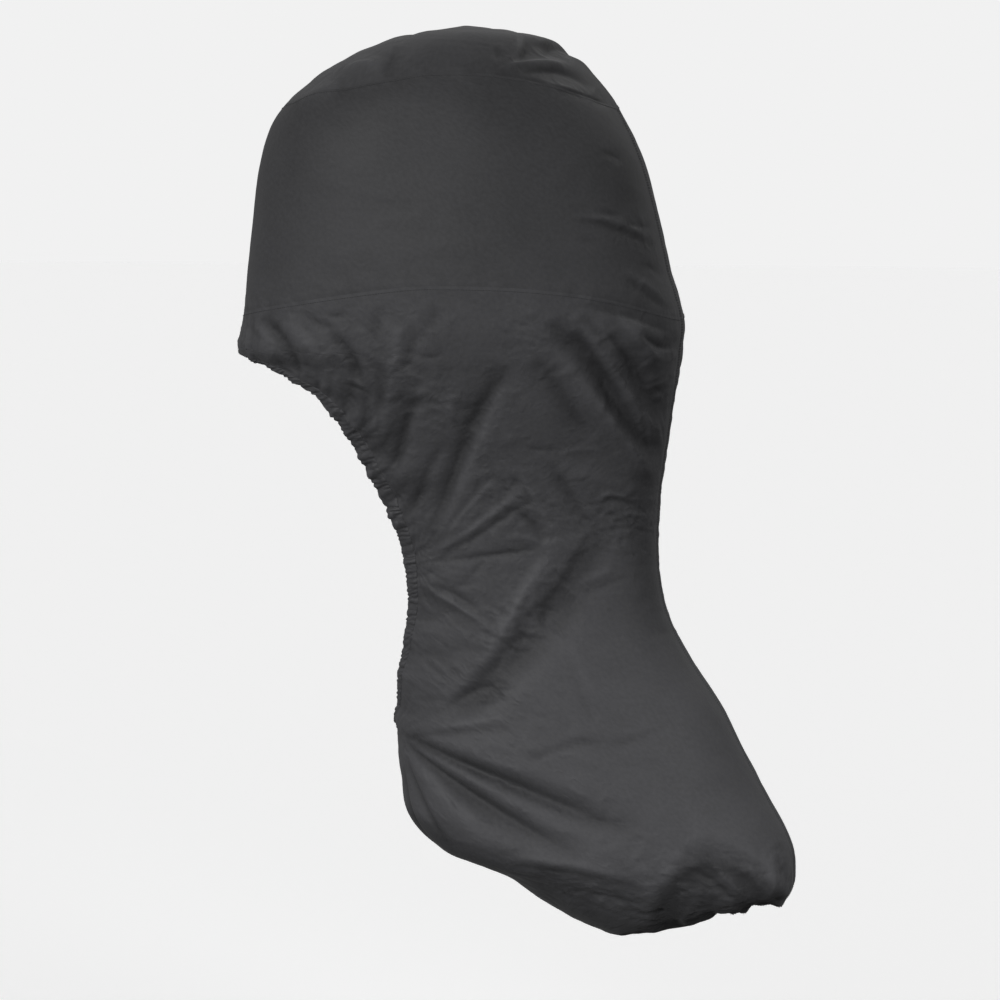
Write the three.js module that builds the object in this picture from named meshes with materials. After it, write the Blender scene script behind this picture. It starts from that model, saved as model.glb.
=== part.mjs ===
// Fitted full-length cover of coated cloth, as it hangs over what it fits: a domed crown, a hood of two
// side panels, and two long body panels. Their front edges are gathered round an opening, and below it
// they close to a bag that sweeps back to a gathered foot.
// Units are millimetres. +X is the back, -Y the port side, +Z up. The origin is on the underside of the
// crown at its top, where the cover rests on what it fits.
import * as THREE from "three";

// Cloth and seams
const CLOTH_THICKNESS = 2;
const SEAM_GAP = 0.3;
const HOOD_COLOR = 0x414143;
const BODY_COLOR = 0x474849;

// Sections of the inner face from the crown down to the foot, in the side view: where the front and
// the back of each lie, half its width across, and how square it is (2 is an ellipse). Between the
// opening's top and its pinch the front is the hem.
const SECTIONS = [
  { frontX: 0, frontZ: 0, backX: 0, backZ: 0, halfWidth: 0, square: 2.0 },
  { frontX: -113, frontZ: -19, backX: 139, backZ: -19, halfWidth: 112, square: 2.1 },
  { frontX: -209, frontZ: -56, backX: 196, backZ: -54, halfWidth: 176, square: 2.2 },
  { frontX: -296, frontZ: -111, backX: 252, backZ: -109, halfWidth: 222, square: 2.3 },
  { frontX: -348, frontZ: -172, backX: 292, backZ: -172, halfWidth: 247, square: 2.4 },
  { frontX: -372, frontZ: -250, backX: 326, backZ: -250, halfWidth: 262, square: 2.5 },
  { frontX: -387, frontZ: -346, backX: 353, backZ: -346, halfWidth: 271, square: 2.5 },
  { frontX: -398, frontZ: -444, backX: 376, backZ: -444, halfWidth: 274, square: 2.5 },
  { frontX: -407, frontZ: -531, backX: 401, backZ: -531, halfWidth: 270, square: 2.5 },
  { frontX: -424, frontZ: -586, backX: 398, backZ: -583, halfWidth: 262, square: 2.5 },
  { frontX: -311, frontZ: -622, backX: 392, backZ: -635, halfWidth: 251, square: 2.4 },
  { frontX: -220, frontZ: -675, backX: 383, backZ: -697, halfWidth: 236, square: 2.4 },
  { frontX: -168, frontZ: -749, backX: 374, backZ: -764, halfWidth: 216, square: 2.3 },
  { frontX: -131, frontZ: -825, backX: 364, backZ: -831, halfWidth: 197, square: 2.3 },
  { frontX: -96, frontZ: -905, backX: 359, backZ: -905, halfWidth: 182, square: 2.2 },
  { frontX: -78, frontZ: -993, backX: 361, backZ: -993, halfWidth: 173, square: 2.2 },
  { frontX: -81, frontZ: -1077, backX: 379, backZ: -1077, halfWidth: 170, square: 2.2 },
  { frontX: -98, frontZ: -1154, backX: 420, backZ: -1156, halfWidth: 174, square: 2.2 },
  { frontX: -113, frontZ: -1230, backX: 475, backZ: -1238, halfWidth: 182, square: 2.2 },
  { frontX: -124, frontZ: -1301, backX: 520, backZ: -1323, halfWidth: 192, square: 2.2 },
  { frontX: -117, frontZ: -1382, backX: 559, backZ: -1397, halfWidth: 200, square: 2.2 },
  { frontX: -104, frontZ: -1456, backX: 598, backZ: -1467, halfWidth: 203, square: 2.2 },
  { frontX: -46, frontZ: -1510, backX: 618, backZ: -1526, halfWidth: 196, square: 2.3 },
  { frontX: 65, frontZ: -1547, backX: 611, backZ: -1580, halfWidth: 176, square: 2.4 },
  { frontX: 178, frontZ: -1619, backX: 572, backZ: -1606, halfWidth: 140, square: 2.4 },
  { frontX: 287, frontZ: -1665, backX: 505, backZ: -1621, halfWidth: 92, square: 2.3 },
  { frontX: 416, frontZ: -1654, backX: 416, backZ: -1654, halfWidth: 0, square: 2.2 },
];
const LAST = SECTIONS.length - 1;

// The opening runs from one section to another, and its hem lies short of the front by this angle,
// in full near its top and less towards the pinch. The hem is puckered by its elastic.
const OPENING = { top: 9, pinch: 19, turnIn: 74, easeLow: 0.56 };
const HEM_PUCKER = { depth: 3, perSection: 0.83, reach: 0.16 };

// The foot is drawn together under the bag.
const FOOT_GATHER = { from: 20.5, depth: 7, pitch: 74, reach: 95 };

// Each seam is given by its section at the sides, its section at the front and back, and how late it
// turns down towards each.
const CROWN_SEAM = { sides: 2.65, ends: 3.62, frontPower: 1.2, backPower: 3.1 };
const HOOD_SEAM = { sides: 7.2, ends: 7.93, frontPower: 1.4, backPower: 3.2 };

// Folds in the side view, from one end to the other with a bow to one side. Each has half its width,
// its height on the port and the starboard side (a ridge is above 0, a trough below), and the share
// of its length at which it is deepest.
const FOLDS = [
  // Back of the body, below the hood seam
  { x0: 208, z0: -520, x1: 364, z1: -801, bow: 13, width: 30, port: -17, starboard: -9, peak: 0.4 },
  { x0: 196, z0: -565, x1: 364, z1: -835, bow: 4, width: 22, port: 10, starboard: 12, peak: 0.5 },
  { x0: 266, z0: -529, x1: 362, z1: -723, bow: 0, width: 18, port: 8, starboard: 5, peak: 0.5 },
  { x0: 291, z0: -540, x1: 378, z1: -700, bow: 10, width: 17, port: -8, starboard: -11, peak: 0.4 },
  { x0: 322, z0: -504, x1: 386, z1: -622, bow: 0, width: 14, port: 6, starboard: 4, peak: 0.5 },
  { x0: 182, z0: -585, x1: 252, z1: -730, bow: 0, width: 20, port: -8, starboard: 6, peak: 0.5 },
  // Middle of the body, fanning down to the hem
  { x0: 122, z0: -600, x1: -46, z1: -955, bow: -11, width: 27, port: -14, starboard: -10, peak: 0.45 },
  { x0: 140, z0: -630, x1: -30, z1: -970, bow: 4, width: 19, port: 8, starboard: 10, peak: 0.5 },
  { x0: -31, z0: -535, x1: -106, z1: -815, bow: 4, width: 23, port: -10, starboard: -7, peak: 0.5 },
  { x0: -178, z0: -520, x1: -143, z1: -665, bow: 0, width: 19, port: -9, starboard: -6, peak: 0.5 },
  { x0: -327, z0: -535, x1: -258, z1: -625, bow: 0, width: 17, port: -8, starboard: -8, peak: 0.5 },
  // Star of creases at the hem, halfway down the opening
  { x0: -50, z0: -970, x1: 180, z1: -936, bow: 5, width: 16, port: -11, starboard: -6, peak: 0.25 },
  { x0: -50, z0: -965, x1: 154, z1: -820, bow: -5, width: 15, port: 9, starboard: 7, peak: 0.35 },
  { x0: -50, z0: -1010, x1: 90, z1: -1090, bow: 4, width: 16, port: 8, starboard: 10, peak: 0.35 },
  // Long hollow from the waist down to the pinch
  { x0: 300, z0: -915, x1: -20, z1: -1262, bow: 12, width: 42, port: -15, starboard: -10, peak: 0.5 },
  { x0: 372, z0: -965, x1: 205, z1: -1032, bow: 0, width: 21, port: 8, starboard: 6, peak: 0.5 },
  // Gathers that run back from the pinch
  { x0: -100, z0: -1290, x1: 145, z1: -1238, bow: 9, width: 15, port: 9, starboard: 8, peak: 0.25 },
  { x0: -112, z0: -1296, x1: 390, z1: -1470, bow: 17, width: 21, port: -17, starboard: -13, peak: 0.25 },
  { x0: -112, z0: -1304, x1: 345, z1: -1492, bow: 3, width: 18, port: 10, starboard: 12, peak: 0.3 },
  { x0: -110, z0: -1310, x1: 300, z1: -1512, bow: -12, width: 20, port: -16, starboard: -12, peak: 0.3 },
  { x0: -105, z0: -1320, x1: 140, z1: -1525, bow: -16, width: 19, port: 9, starboard: 9, peak: 0.35 },
  { x0: -100, z0: -1330, x1: 18, z1: -1505, bow: -17, width: 17, port: -13, starboard: -14, peak: 0.4 },
  // Turn of the bag under its foot
  { x0: 55, z0: -1512, x1: 460, z1: -1538, bow: 17, width: 27, port: -11, starboard: -8, peak: 0.5 },
  { x0: 375, z0: -1458, x1: 600, z1: -1545, bow: 40, width: 27, port: -10, starboard: -12, peak: 0.5 },
  // Small creases at the back of the hood
  { x0: 225, z0: -348, x1: 372, z1: -402, bow: 12, width: 14, port: -6, starboard: -4, peak: 0.5 },
  { x0: 320, z0: -450, x1: 396, z1: -500, bow: 0, width: 14, port: -5, starboard: 4, peak: 0.5 },
];
const FOLD_FADE = 0.4; // share of the half width over which folds die out towards the centre seams

// Facets: strips round half a section, and rows down each panel
const STRIPS = 26;
const CROWN_ROWS = 5;
const HOOD_ROWS = 8;
const BODY_ROWS = 44;
const BODY_ROW_LEAD = 0.22; // rows lie closer at the foot than at the hood by about this share

const PORT = -1;
const STARBOARD = 1;

function sectionCurve(pick) {
  return new THREE.CatmullRomCurve3(SECTIONS.map(pick), false, "catmullrom", 0.5);
}

const frontLine = sectionCurve((row) => new THREE.Vector3(row.frontX, 0, row.frontZ));
const backLine = sectionCurve((row) => new THREE.Vector3(row.backX, 0, row.backZ));
const girthLine = sectionCurve((row) => new THREE.Vector3(row.halfWidth, row.square, 0));

// Radius of a rounded square of half width 1, at an angle from the middle of one side.
function squareRadius(angle, square) {
  const along = Math.abs(Math.cos(angle)) ** square;
  const across = Math.abs(Math.sin(angle)) ** square;
  return (along + across) ** (-1 / square);
}

// Angle from the back at which the cloth ends: half a turn where the section is closed.
function wrapAngle(section) {
  const share = THREE.MathUtils.clamp((section - OPENING.top) / (OPENING.pinch - OPENING.top), 0, 1);
  const opened = Math.sqrt(4 * share * (1 - share)) * (1 - OPENING.easeLow * share);
  return THREE.MathUtils.degToRad(180 - OPENING.turnIn * opened);
}

// Point of the smooth cover at a section, and at a share of the wrap angle: 0 is the back, -1 the
// port edge and 1 the starboard edge.
function smoothPoint(section, share) {
  const place = THREE.MathUtils.clamp(section / LAST, 0, 1);
  const front = frontLine.getPoint(place);
  const back = backLine.getPoint(place);
  const girth = girthLine.getPoint(place);
  const wrap = wrapAngle(section);
  const angle = share * wrap;
  const reach = 1 - squareRadius(wrap, girth.y) * Math.cos(wrap);
  const half = back.clone().sub(front).divideScalar(reach);
  const radius = squareRadius(angle, girth.y);
  const point = back.clone().sub(half).addScaledVector(half, radius * Math.cos(angle));
  point.y = girth.x * radius * Math.sin(angle);
  return point;
}

// Outward normal of a surface given as a function of section and share, from its two slopes.
function normalOf(surface, section, share) {
  const step = 0.02;
  const low = Math.min(section + step, LAST - step);
  const high = Math.max(Math.min(section, LAST - step) - step, step);
  const down = surface(low, share).sub(surface(high, share));
  const round = surface((low + high) / 2, share + step).sub(surface((low + high) / 2, share - step));
  return down.cross(round).normalize();
}

// 1 at the peak of a fold and 0 at both its ends.
function foldTaper(along, peak) {
  if (along <= 0 || along >= 1) return 0;
  return (along / peak) ** (2 * peak) * ((1 - along) / (1 - peak)) ** (2 * (1 - peak));
}

function foldHeight(fold, point) {
  const length = Math.hypot(fold.x1 - fold.x0, fold.z1 - fold.z0);
  const alongX = (fold.x1 - fold.x0) / length;
  const alongZ = (fold.z1 - fold.z0) / length;
  const x = point.x - fold.x0;
  const z = point.z - fold.z0;
  const along = (x * alongX + z * alongZ) / length;
  const aside = z * alongX - x * alongZ - fold.bow * 4 * along * (1 - along);
  const height = point.y < 0 ? fold.port : fold.starboard;
  return height * foldTaper(along, fold.peak) * Math.exp(-((aside / fold.width) ** 2));
}

function hemPucker(section, share) {
  if (section < OPENING.top || section > OPENING.pinch) return 0;
  const wave = Math.cos(2 * Math.PI * HEM_PUCKER.perSection * (section - OPENING.top));
  return HEM_PUCKER.depth * wave * Math.exp(-(1 - Math.abs(share)) / HEM_PUCKER.reach);
}

function footGather(section, point) {
  const onset = THREE.MathUtils.smoothstep(section, FOOT_GATHER.from, FOOT_GATHER.from + 2);
  const wave = Math.cos((2 * Math.PI * point.x) / FOOT_GATHER.pitch);
  return FOOT_GATHER.depth * onset * wave * Math.exp(-Math.abs(point.y) / FOOT_GATHER.reach);
}

// Point of the inner face of the cloth, folds and gathers included.
function clothPoint(section, share) {
  const point = smoothPoint(section, share);
  const girth = girthLine.getPoint(THREE.MathUtils.clamp(section / LAST, 0, 1));
  const fade = THREE.MathUtils.smoothstep(Math.abs(point.y) / Math.max(girth.x, 1), 0, FOLD_FADE);
  const folds = FOLDS.reduce((sum, fold) => sum + foldHeight(fold, point), 0);
  const height = folds * fade + hemPucker(section, share) + footGather(section, point);
  return point.addScaledVector(normalOf(smoothPoint, section, share), height);
}

// Normal where all strips meet in one point: the mean of those close round it.
function poleNormal(section) {
  const near = section === 0 ? 0.2 : LAST - 0.2;
  const sum = new THREE.Vector3();
  [0, 0.25, 0.5, 0.75, 1].forEach((share) => sum.add(normalOf(smoothPoint, near, share)));
  sum.y = 0;
  return sum.normalize();
}

// Both faces of the cloth at one corner of a panel's facets.
function clothCorner(section, share, side) {
  const atPole = section === 0 || section === LAST;
  const normal = atPole ? poleNormal(section) : normalOf(clothPoint, section, share);
  const inner = atPole ? smoothPoint(section, 0) : clothPoint(section, share);
  const outer = inner.clone().addScaledVector(normal, CLOTH_THICKNESS);
  if (side !== 0) {
    const seam = SEAM_GAP / 2;
    outer.y = side * Math.max(side * outer.y, seam);
    inner.y = side * Math.max(side * inner.y, seam);
    const onSeam = share === 0 || (Math.abs(share) === 1 && wrapAngle(section) > Math.PI - 1e-6);
    if (onSeam || atPole) {
      outer.y = side * seam;
      inner.y = side * seam;
    }
  }
  return [outer, inner];
}

// Section at which a seam crosses one strip line.
function seamSection(seam, share) {
  const toBack = Math.cos(share * Math.PI);
  const turned = Math.abs(toBack) ** (toBack > 0 ? seam.backPower : seam.frontPower);
  return seam.sides + (seam.ends - seam.sides) * turned;
}

// Moves a section off a seam, so that two panels keep their gap across it.
function offSeam(section, share, direction) {
  const slope = smoothPoint(section + 0.05, share).distanceTo(smoothPoint(section - 0.05, share)) / 0.1;
  return section + (direction * SEAM_GAP * 0.85) / slope;
}

// Closed solid of one panel from its rows of corners. A row in which all strips meet is one corner.
function panelGeometry(rows, closedRound) {
  const positions = [];
  const index = [];
  const ids = rows.map((row) => {
    const single = row.length === 1;
    const made = row.map(([outer, inner]) => {
      positions.push(outer.x, outer.y, outer.z, inner.x, inner.y, inner.z);
      return positions.length / 3 - 2;
    });
    return (strip) => (single ? made[0] : made[strip % made.length]);
  });
  const strips = closedRound ? 2 * STRIPS : STRIPS;
  const triangle = (a, b, c) => {
    if (a !== b && b !== c && c !== a) index.push(a, b, c);
  };
  const quad = (a, b, c, d) => {
    triangle(a, b, c);
    triangle(a, c, d);
  };
  const wall = (a, b) => quad(a, a + 1, b + 1, b);
  for (let row = 0; row < rows.length - 1; row += 1) {
    for (let strip = 0; strip < strips; strip += 1) {
      const a = ids[row](strip);
      const b = ids[row + 1](strip);
      const c = ids[row + 1](strip + 1);
      const d = ids[row](strip + 1);
      quad(a, b, c, d);
      quad(a + 1, d + 1, c + 1, b + 1);
    }
    if (!closedRound) {
      wall(ids[row](0), ids[row + 1](0));
      wall(ids[row + 1](strips), ids[row](strips));
    }
  }
  for (let strip = 0; strip < strips; strip += 1) {
    if (rows[0].length > 1) wall(ids[0](strip + 1), ids[0](strip));
    if (rows.at(-1).length > 1) wall(ids.at(-1)(strip), ids.at(-1)(strip + 1));
  }
  const geometry = new THREE.BufferGeometry();
  geometry.setAttribute("position", new THREE.Float32BufferAttribute(positions, 3));
  geometry.setIndex(index);
  geometry.computeVertexNormals();
  return geometry;
}

// Shares round one side of a section, from the back to the front edge on starboard, and from the
// front edge to the back on port, so that the facets face out on both.
function sideShares(side) {
  const shares = Array.from({ length: STRIPS + 1 }, (_, strip) => (side * strip) / STRIPS);
  return side === PORT ? shares.reverse() : shares;
}

function crownRows() {
  const shares = Array.from({ length: 2 * STRIPS }, (_, strip) => strip / STRIPS - 1);
  const rows = [[clothCorner(0, 0, 0)]];
  for (let row = 1; row <= CROWN_ROWS; row += 1) {
    rows.push(shares.map((share) => {
      const edge = offSeam(seamSection(CROWN_SEAM, share), share, -1);
      return clothCorner((edge * row) / CROWN_ROWS, share, 0);
    }));
  }
  return rows;
}

function hoodRows(side) {
  return Array.from({ length: HOOD_ROWS + 1 }, (_, row) => sideShares(side).map((share) => {
    const top = offSeam(seamSection(CROWN_SEAM, share), share, 1);
    const bottom = offSeam(seamSection(HOOD_SEAM, share), share, -1);
    return clothCorner(top + ((bottom - top) * row) / HOOD_ROWS, share, side);
  }));
}

function bodyRows(side) {
  const rows = Array.from({ length: BODY_ROWS }, (_, row) => {
    const down = row / BODY_ROWS;
    const eased = down + BODY_ROW_LEAD * down * (1 - down);
    return sideShares(side).map((share) => {
      const top = offSeam(seamSection(HOOD_SEAM, share), share, 1);
      return clothCorner(top + (LAST - top) * eased, share, side);
    });
  });
  rows.push([clothCorner(LAST, 0, side)]);
  return rows;
}

function clothMaterial(color) {
  return new THREE.MeshStandardMaterial({ color, roughness: 0.72, metalness: 0 });
}

function panel(name, rows, closedRound, color) {
  const mesh = new THREE.Mesh(panelGeometry(rows, closedRound), clothMaterial(color));
  mesh.name = name;
  return mesh;
}

function crown() {
  return panel("crown_panel", crownRows(), true, HOOD_COLOR);
}

function hood() {
  const group = new THREE.Group();
  group.add(panel("hood_port", hoodRows(PORT), false, HOOD_COLOR));
  group.add(panel("hood_starboard", hoodRows(STARBOARD), false, HOOD_COLOR));
  return group;
}

function body() {
  const group = new THREE.Group();
  group.add(panel("body_port", bodyRows(PORT), false, BODY_COLOR));
  group.add(panel("body_starboard", bodyRows(STARBOARD), false, BODY_COLOR));
  return group;
}

const cover = new THREE.Group();
cover.add(crown(), hood(), body());
export default cover;
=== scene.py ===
"""Fitted full-length cover of coated cloth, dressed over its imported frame.

The cloth is one smooth surface, given by sections from the crown down to the foot. Folds, creases,
gathers and seams are heights along its normal. Tables are in millimetres, the meshes in metres.
"""

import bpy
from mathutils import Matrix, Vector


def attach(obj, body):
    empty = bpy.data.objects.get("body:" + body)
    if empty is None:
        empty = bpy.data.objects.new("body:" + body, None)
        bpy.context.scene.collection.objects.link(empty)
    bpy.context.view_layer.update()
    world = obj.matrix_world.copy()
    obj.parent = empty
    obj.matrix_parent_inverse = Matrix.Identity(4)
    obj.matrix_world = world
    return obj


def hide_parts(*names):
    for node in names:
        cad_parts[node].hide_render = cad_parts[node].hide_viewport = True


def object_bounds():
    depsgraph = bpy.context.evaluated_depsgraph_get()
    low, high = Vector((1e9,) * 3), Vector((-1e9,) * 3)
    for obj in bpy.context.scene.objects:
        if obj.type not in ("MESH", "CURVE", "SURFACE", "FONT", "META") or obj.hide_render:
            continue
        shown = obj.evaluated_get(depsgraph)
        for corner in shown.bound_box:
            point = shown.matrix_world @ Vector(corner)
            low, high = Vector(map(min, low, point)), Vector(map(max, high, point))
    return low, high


bl_info = {
    "name": "Fitted cover of coated cloth",
    "version": (1, 0, 0),
    "blender": (4, 5, 0),
    "location": "View3D > Sidebar > Cover",
    "description": "Builds the crown, hood, body, hems and stitching of a hanging cloth cover",
    "category": "Object",
}

import math

import bpy
import numpy as np
from bpy.props import FloatProperty, FloatVectorProperty, PointerProperty
from mathutils import Vector

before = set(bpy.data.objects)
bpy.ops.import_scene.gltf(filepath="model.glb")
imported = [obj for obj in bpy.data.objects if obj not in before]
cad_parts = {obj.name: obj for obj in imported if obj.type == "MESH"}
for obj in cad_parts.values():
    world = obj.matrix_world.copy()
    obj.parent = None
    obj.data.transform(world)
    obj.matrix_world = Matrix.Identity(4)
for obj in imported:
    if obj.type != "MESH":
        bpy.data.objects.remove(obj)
CAD_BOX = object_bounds()

MM = 0.001
PORT = -1
STARBOARD = 1
SIDES = {"port": PORT, "starboard": STARBOARD}
OUTER_FACE = 2.0  # the frame's outer face lies this far off the sections below


def table(columns, rows):
    """A short table as a dictionary of one array for each named column."""
    values = np.array(rows, float)
    return {name: values[:, place] for place, name in enumerate(columns.split())}


# Sections of the cloth from the crown down to the foot, in the side view: where the front and the
# back of each lie, half its width across, and how square it is (2 is an ellipse). Beside the
# opening, the front is where the section would close if the cloth went on.
SECTIONS = np.array([
    # front x, front z, back x, back z, half width, square
    (0, 0, 0, 0, 0, 2.0),
    (-113, -19, 139, -19, 112, 2.1),
    (-209, -56, 196, -54, 176, 2.2),
    (-296, -111, 252, -109, 222, 2.3),
    (-348, -172, 292, -172, 247, 2.4),
    (-372, -250, 326, -250, 262, 2.5),
    (-387, -346, 353, -346, 271, 2.5),
    (-398, -444, 376, -444, 274, 2.5),
    (-407, -531, 401, -531, 270, 2.5),
    (-417, -585, 398, -583, 262, 2.5),
    (-393, -621, 392, -635, 251, 2.4),
    (-352, -670, 383, -697, 236, 2.4),
    (-314, -745, 374, -764, 216, 2.3),
    (-263, -823, 364, -831, 197, 2.3),
    (-204, -905, 359, -905, 182, 2.2),
    (-159, -993, 361, -993, 173, 2.2),
    (-139, -1077, 379, -1077, 170, 2.2),
    (-136, -1154, 420, -1156, 174, 2.2),
    (-130, -1230, 475, -1238, 182, 2.2),
    (-124, -1301, 520, -1323, 192, 2.2),
    (-117, -1382, 559, -1397, 200, 2.2),
    (-104, -1456, 598, -1467, 203, 2.2),
    (-46, -1510, 618, -1526, 196, 2.3),
    (65, -1547, 611, -1580, 176, 2.4),
    (178, -1619, 572, -1606, 140, 2.4),
    (287, -1665, 505, -1621, 92, 2.3),
    (416, -1654, 416, -1654, 0, 2.2),
], float)
LAST = len(SECTIONS) - 1

# The opening runs from one section to another, and its hem lies short of the front by this angle,
# in full near its top and less towards the pinch.
OPENING_TOP = 9
OPENING_PINCH = 19
OPENING_TURN = 74
OPENING_EASE = 0.56
HEM_WAVE_HEIGHT = 3.0
HEM_WAVE_RATE = 0.83
HEM_WAVE_REACH = 0.16

# Each seam has its section at the sides, its section at the front and back, and how late it turns
# down towards each.
CROWN_SEAM = {"sides": 2.65, "ends": 3.62, "front": 1.2, "back": 3.1}
HOOD_SEAM = {"sides": 7.2, "ends": 7.93, "front": 1.4, "back": 3.2}

# Main folds, as in the frame: ends in the side view, a bow to one side, half the width at each end,
# the height on each side (a ridge is above 0), where along it is deepest, how sharp it is (2 is a
# soft trough, 1 a crisp crease), and its lean, which makes one slope steeper than the other.
FOLD_COLUMNS = "x0 z0 x1 z1 bow wide0 wide1 port starboard peak sharp lean"
FOLDS = table(FOLD_COLUMNS, [
    # Crown
    (130, -24, 129, -73, 9, 22, 24, -9, -5, 0.5, 1.7, 0.75),
    (138, -94, 251, -120, 23, 6, 13, -9, -5, 0.62, 1.3, -0.3),
    (-192, -83, -106, -76, 7, 9, 9, 7, 4, 0.5, 1.3, 0),
    (-271, -144, -180, -111, 3, 17, 17, 8, 4, 0.5, 1.5, 0),
    # Back of the body, below the hood seam
    (214, -568, 364, -827, 11, 22, 15, 12, 8, 0.5, 1.4, -0.2),
    (247, -538, 368, -783, 5, 31, 20, -18, -12, 0.48, 1.6, -0.5),
    (257, -527, 376, -742, 5, 7, 7, 7.5, 5, 0.5, 1.1, 0),
    (323, -575, 380, -719, 8, 22, 22, -11, -8, 0.5, 1.6, -0.4),
    (296, -538, 355, -617, 1, 7, 7, -7, -5, 0.5, 1.15, -0.2),
    (319, -508, 388, -613, -1, 9, 15, 8, 6, 0.5, 1.3, 0),
    (259, -498, 401, -554, 11, 15, 15, -7, -5, 0.55, 1.6, 0.5),
    (180, -577, 270, -736, -3, 15, 33, -8, 4, 0.6, 1.7, -0.4),
    # Middle of the body, fanning down to the hem
    (131, -602, -32, -945, -12, 15, 22, -15, -10, 0.42, 1.3, -0.2),
    (-27, -652, -94, -818, -6, 13, 18, -12, -8, 0.5, 1.3, -0.3),
    (-193, -543, -137, -643, 14, 11, 9, -9, -6, 0.5, 1.3, -0.3),
    (-336, -526, -254, -633, 14, 17, 15, -12, -10, 0.5, 1.5, -0.2),
    # Star of creases at the hem, halfway down the opening
    (196, -776, 274, -909, -3, 13, 18, -7, -4, 0.5, 1.4, -0.3),
    # Waist
    (287, -884, 175, -1079, 4, 15, 48, -10, -7, 0.6, 3, 0.3),
    (221, -1006, -19, -1265, 12, 44, 20, -12, -8, 0.38, 3, 0.3),
    # Bag
    (-103, -1295, 371, -1451, 3, 8, 31, -25, -15, 0.44, 1.3, 0.1),
    (-100, -1310, 271, -1496, -8, 8, 30, -24, -14, 0.44, 1.3, 0.1),
    (-41, -1357, 181, -1491, -1, 9, 30, -9, -6, 0.5, 1.4, 0),
    (-91, -1336, 13, -1503, -10, 6, 11, -9, -9, 0.4, 1.2, 0),
    (-96, -1354, -22, -1511, -29, 6, 11, -9, -8, 0.45, 1.2, 0),
])
FOLD_FADE = 0.4  # share of the half width over which folds die out towards the centre seams

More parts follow.
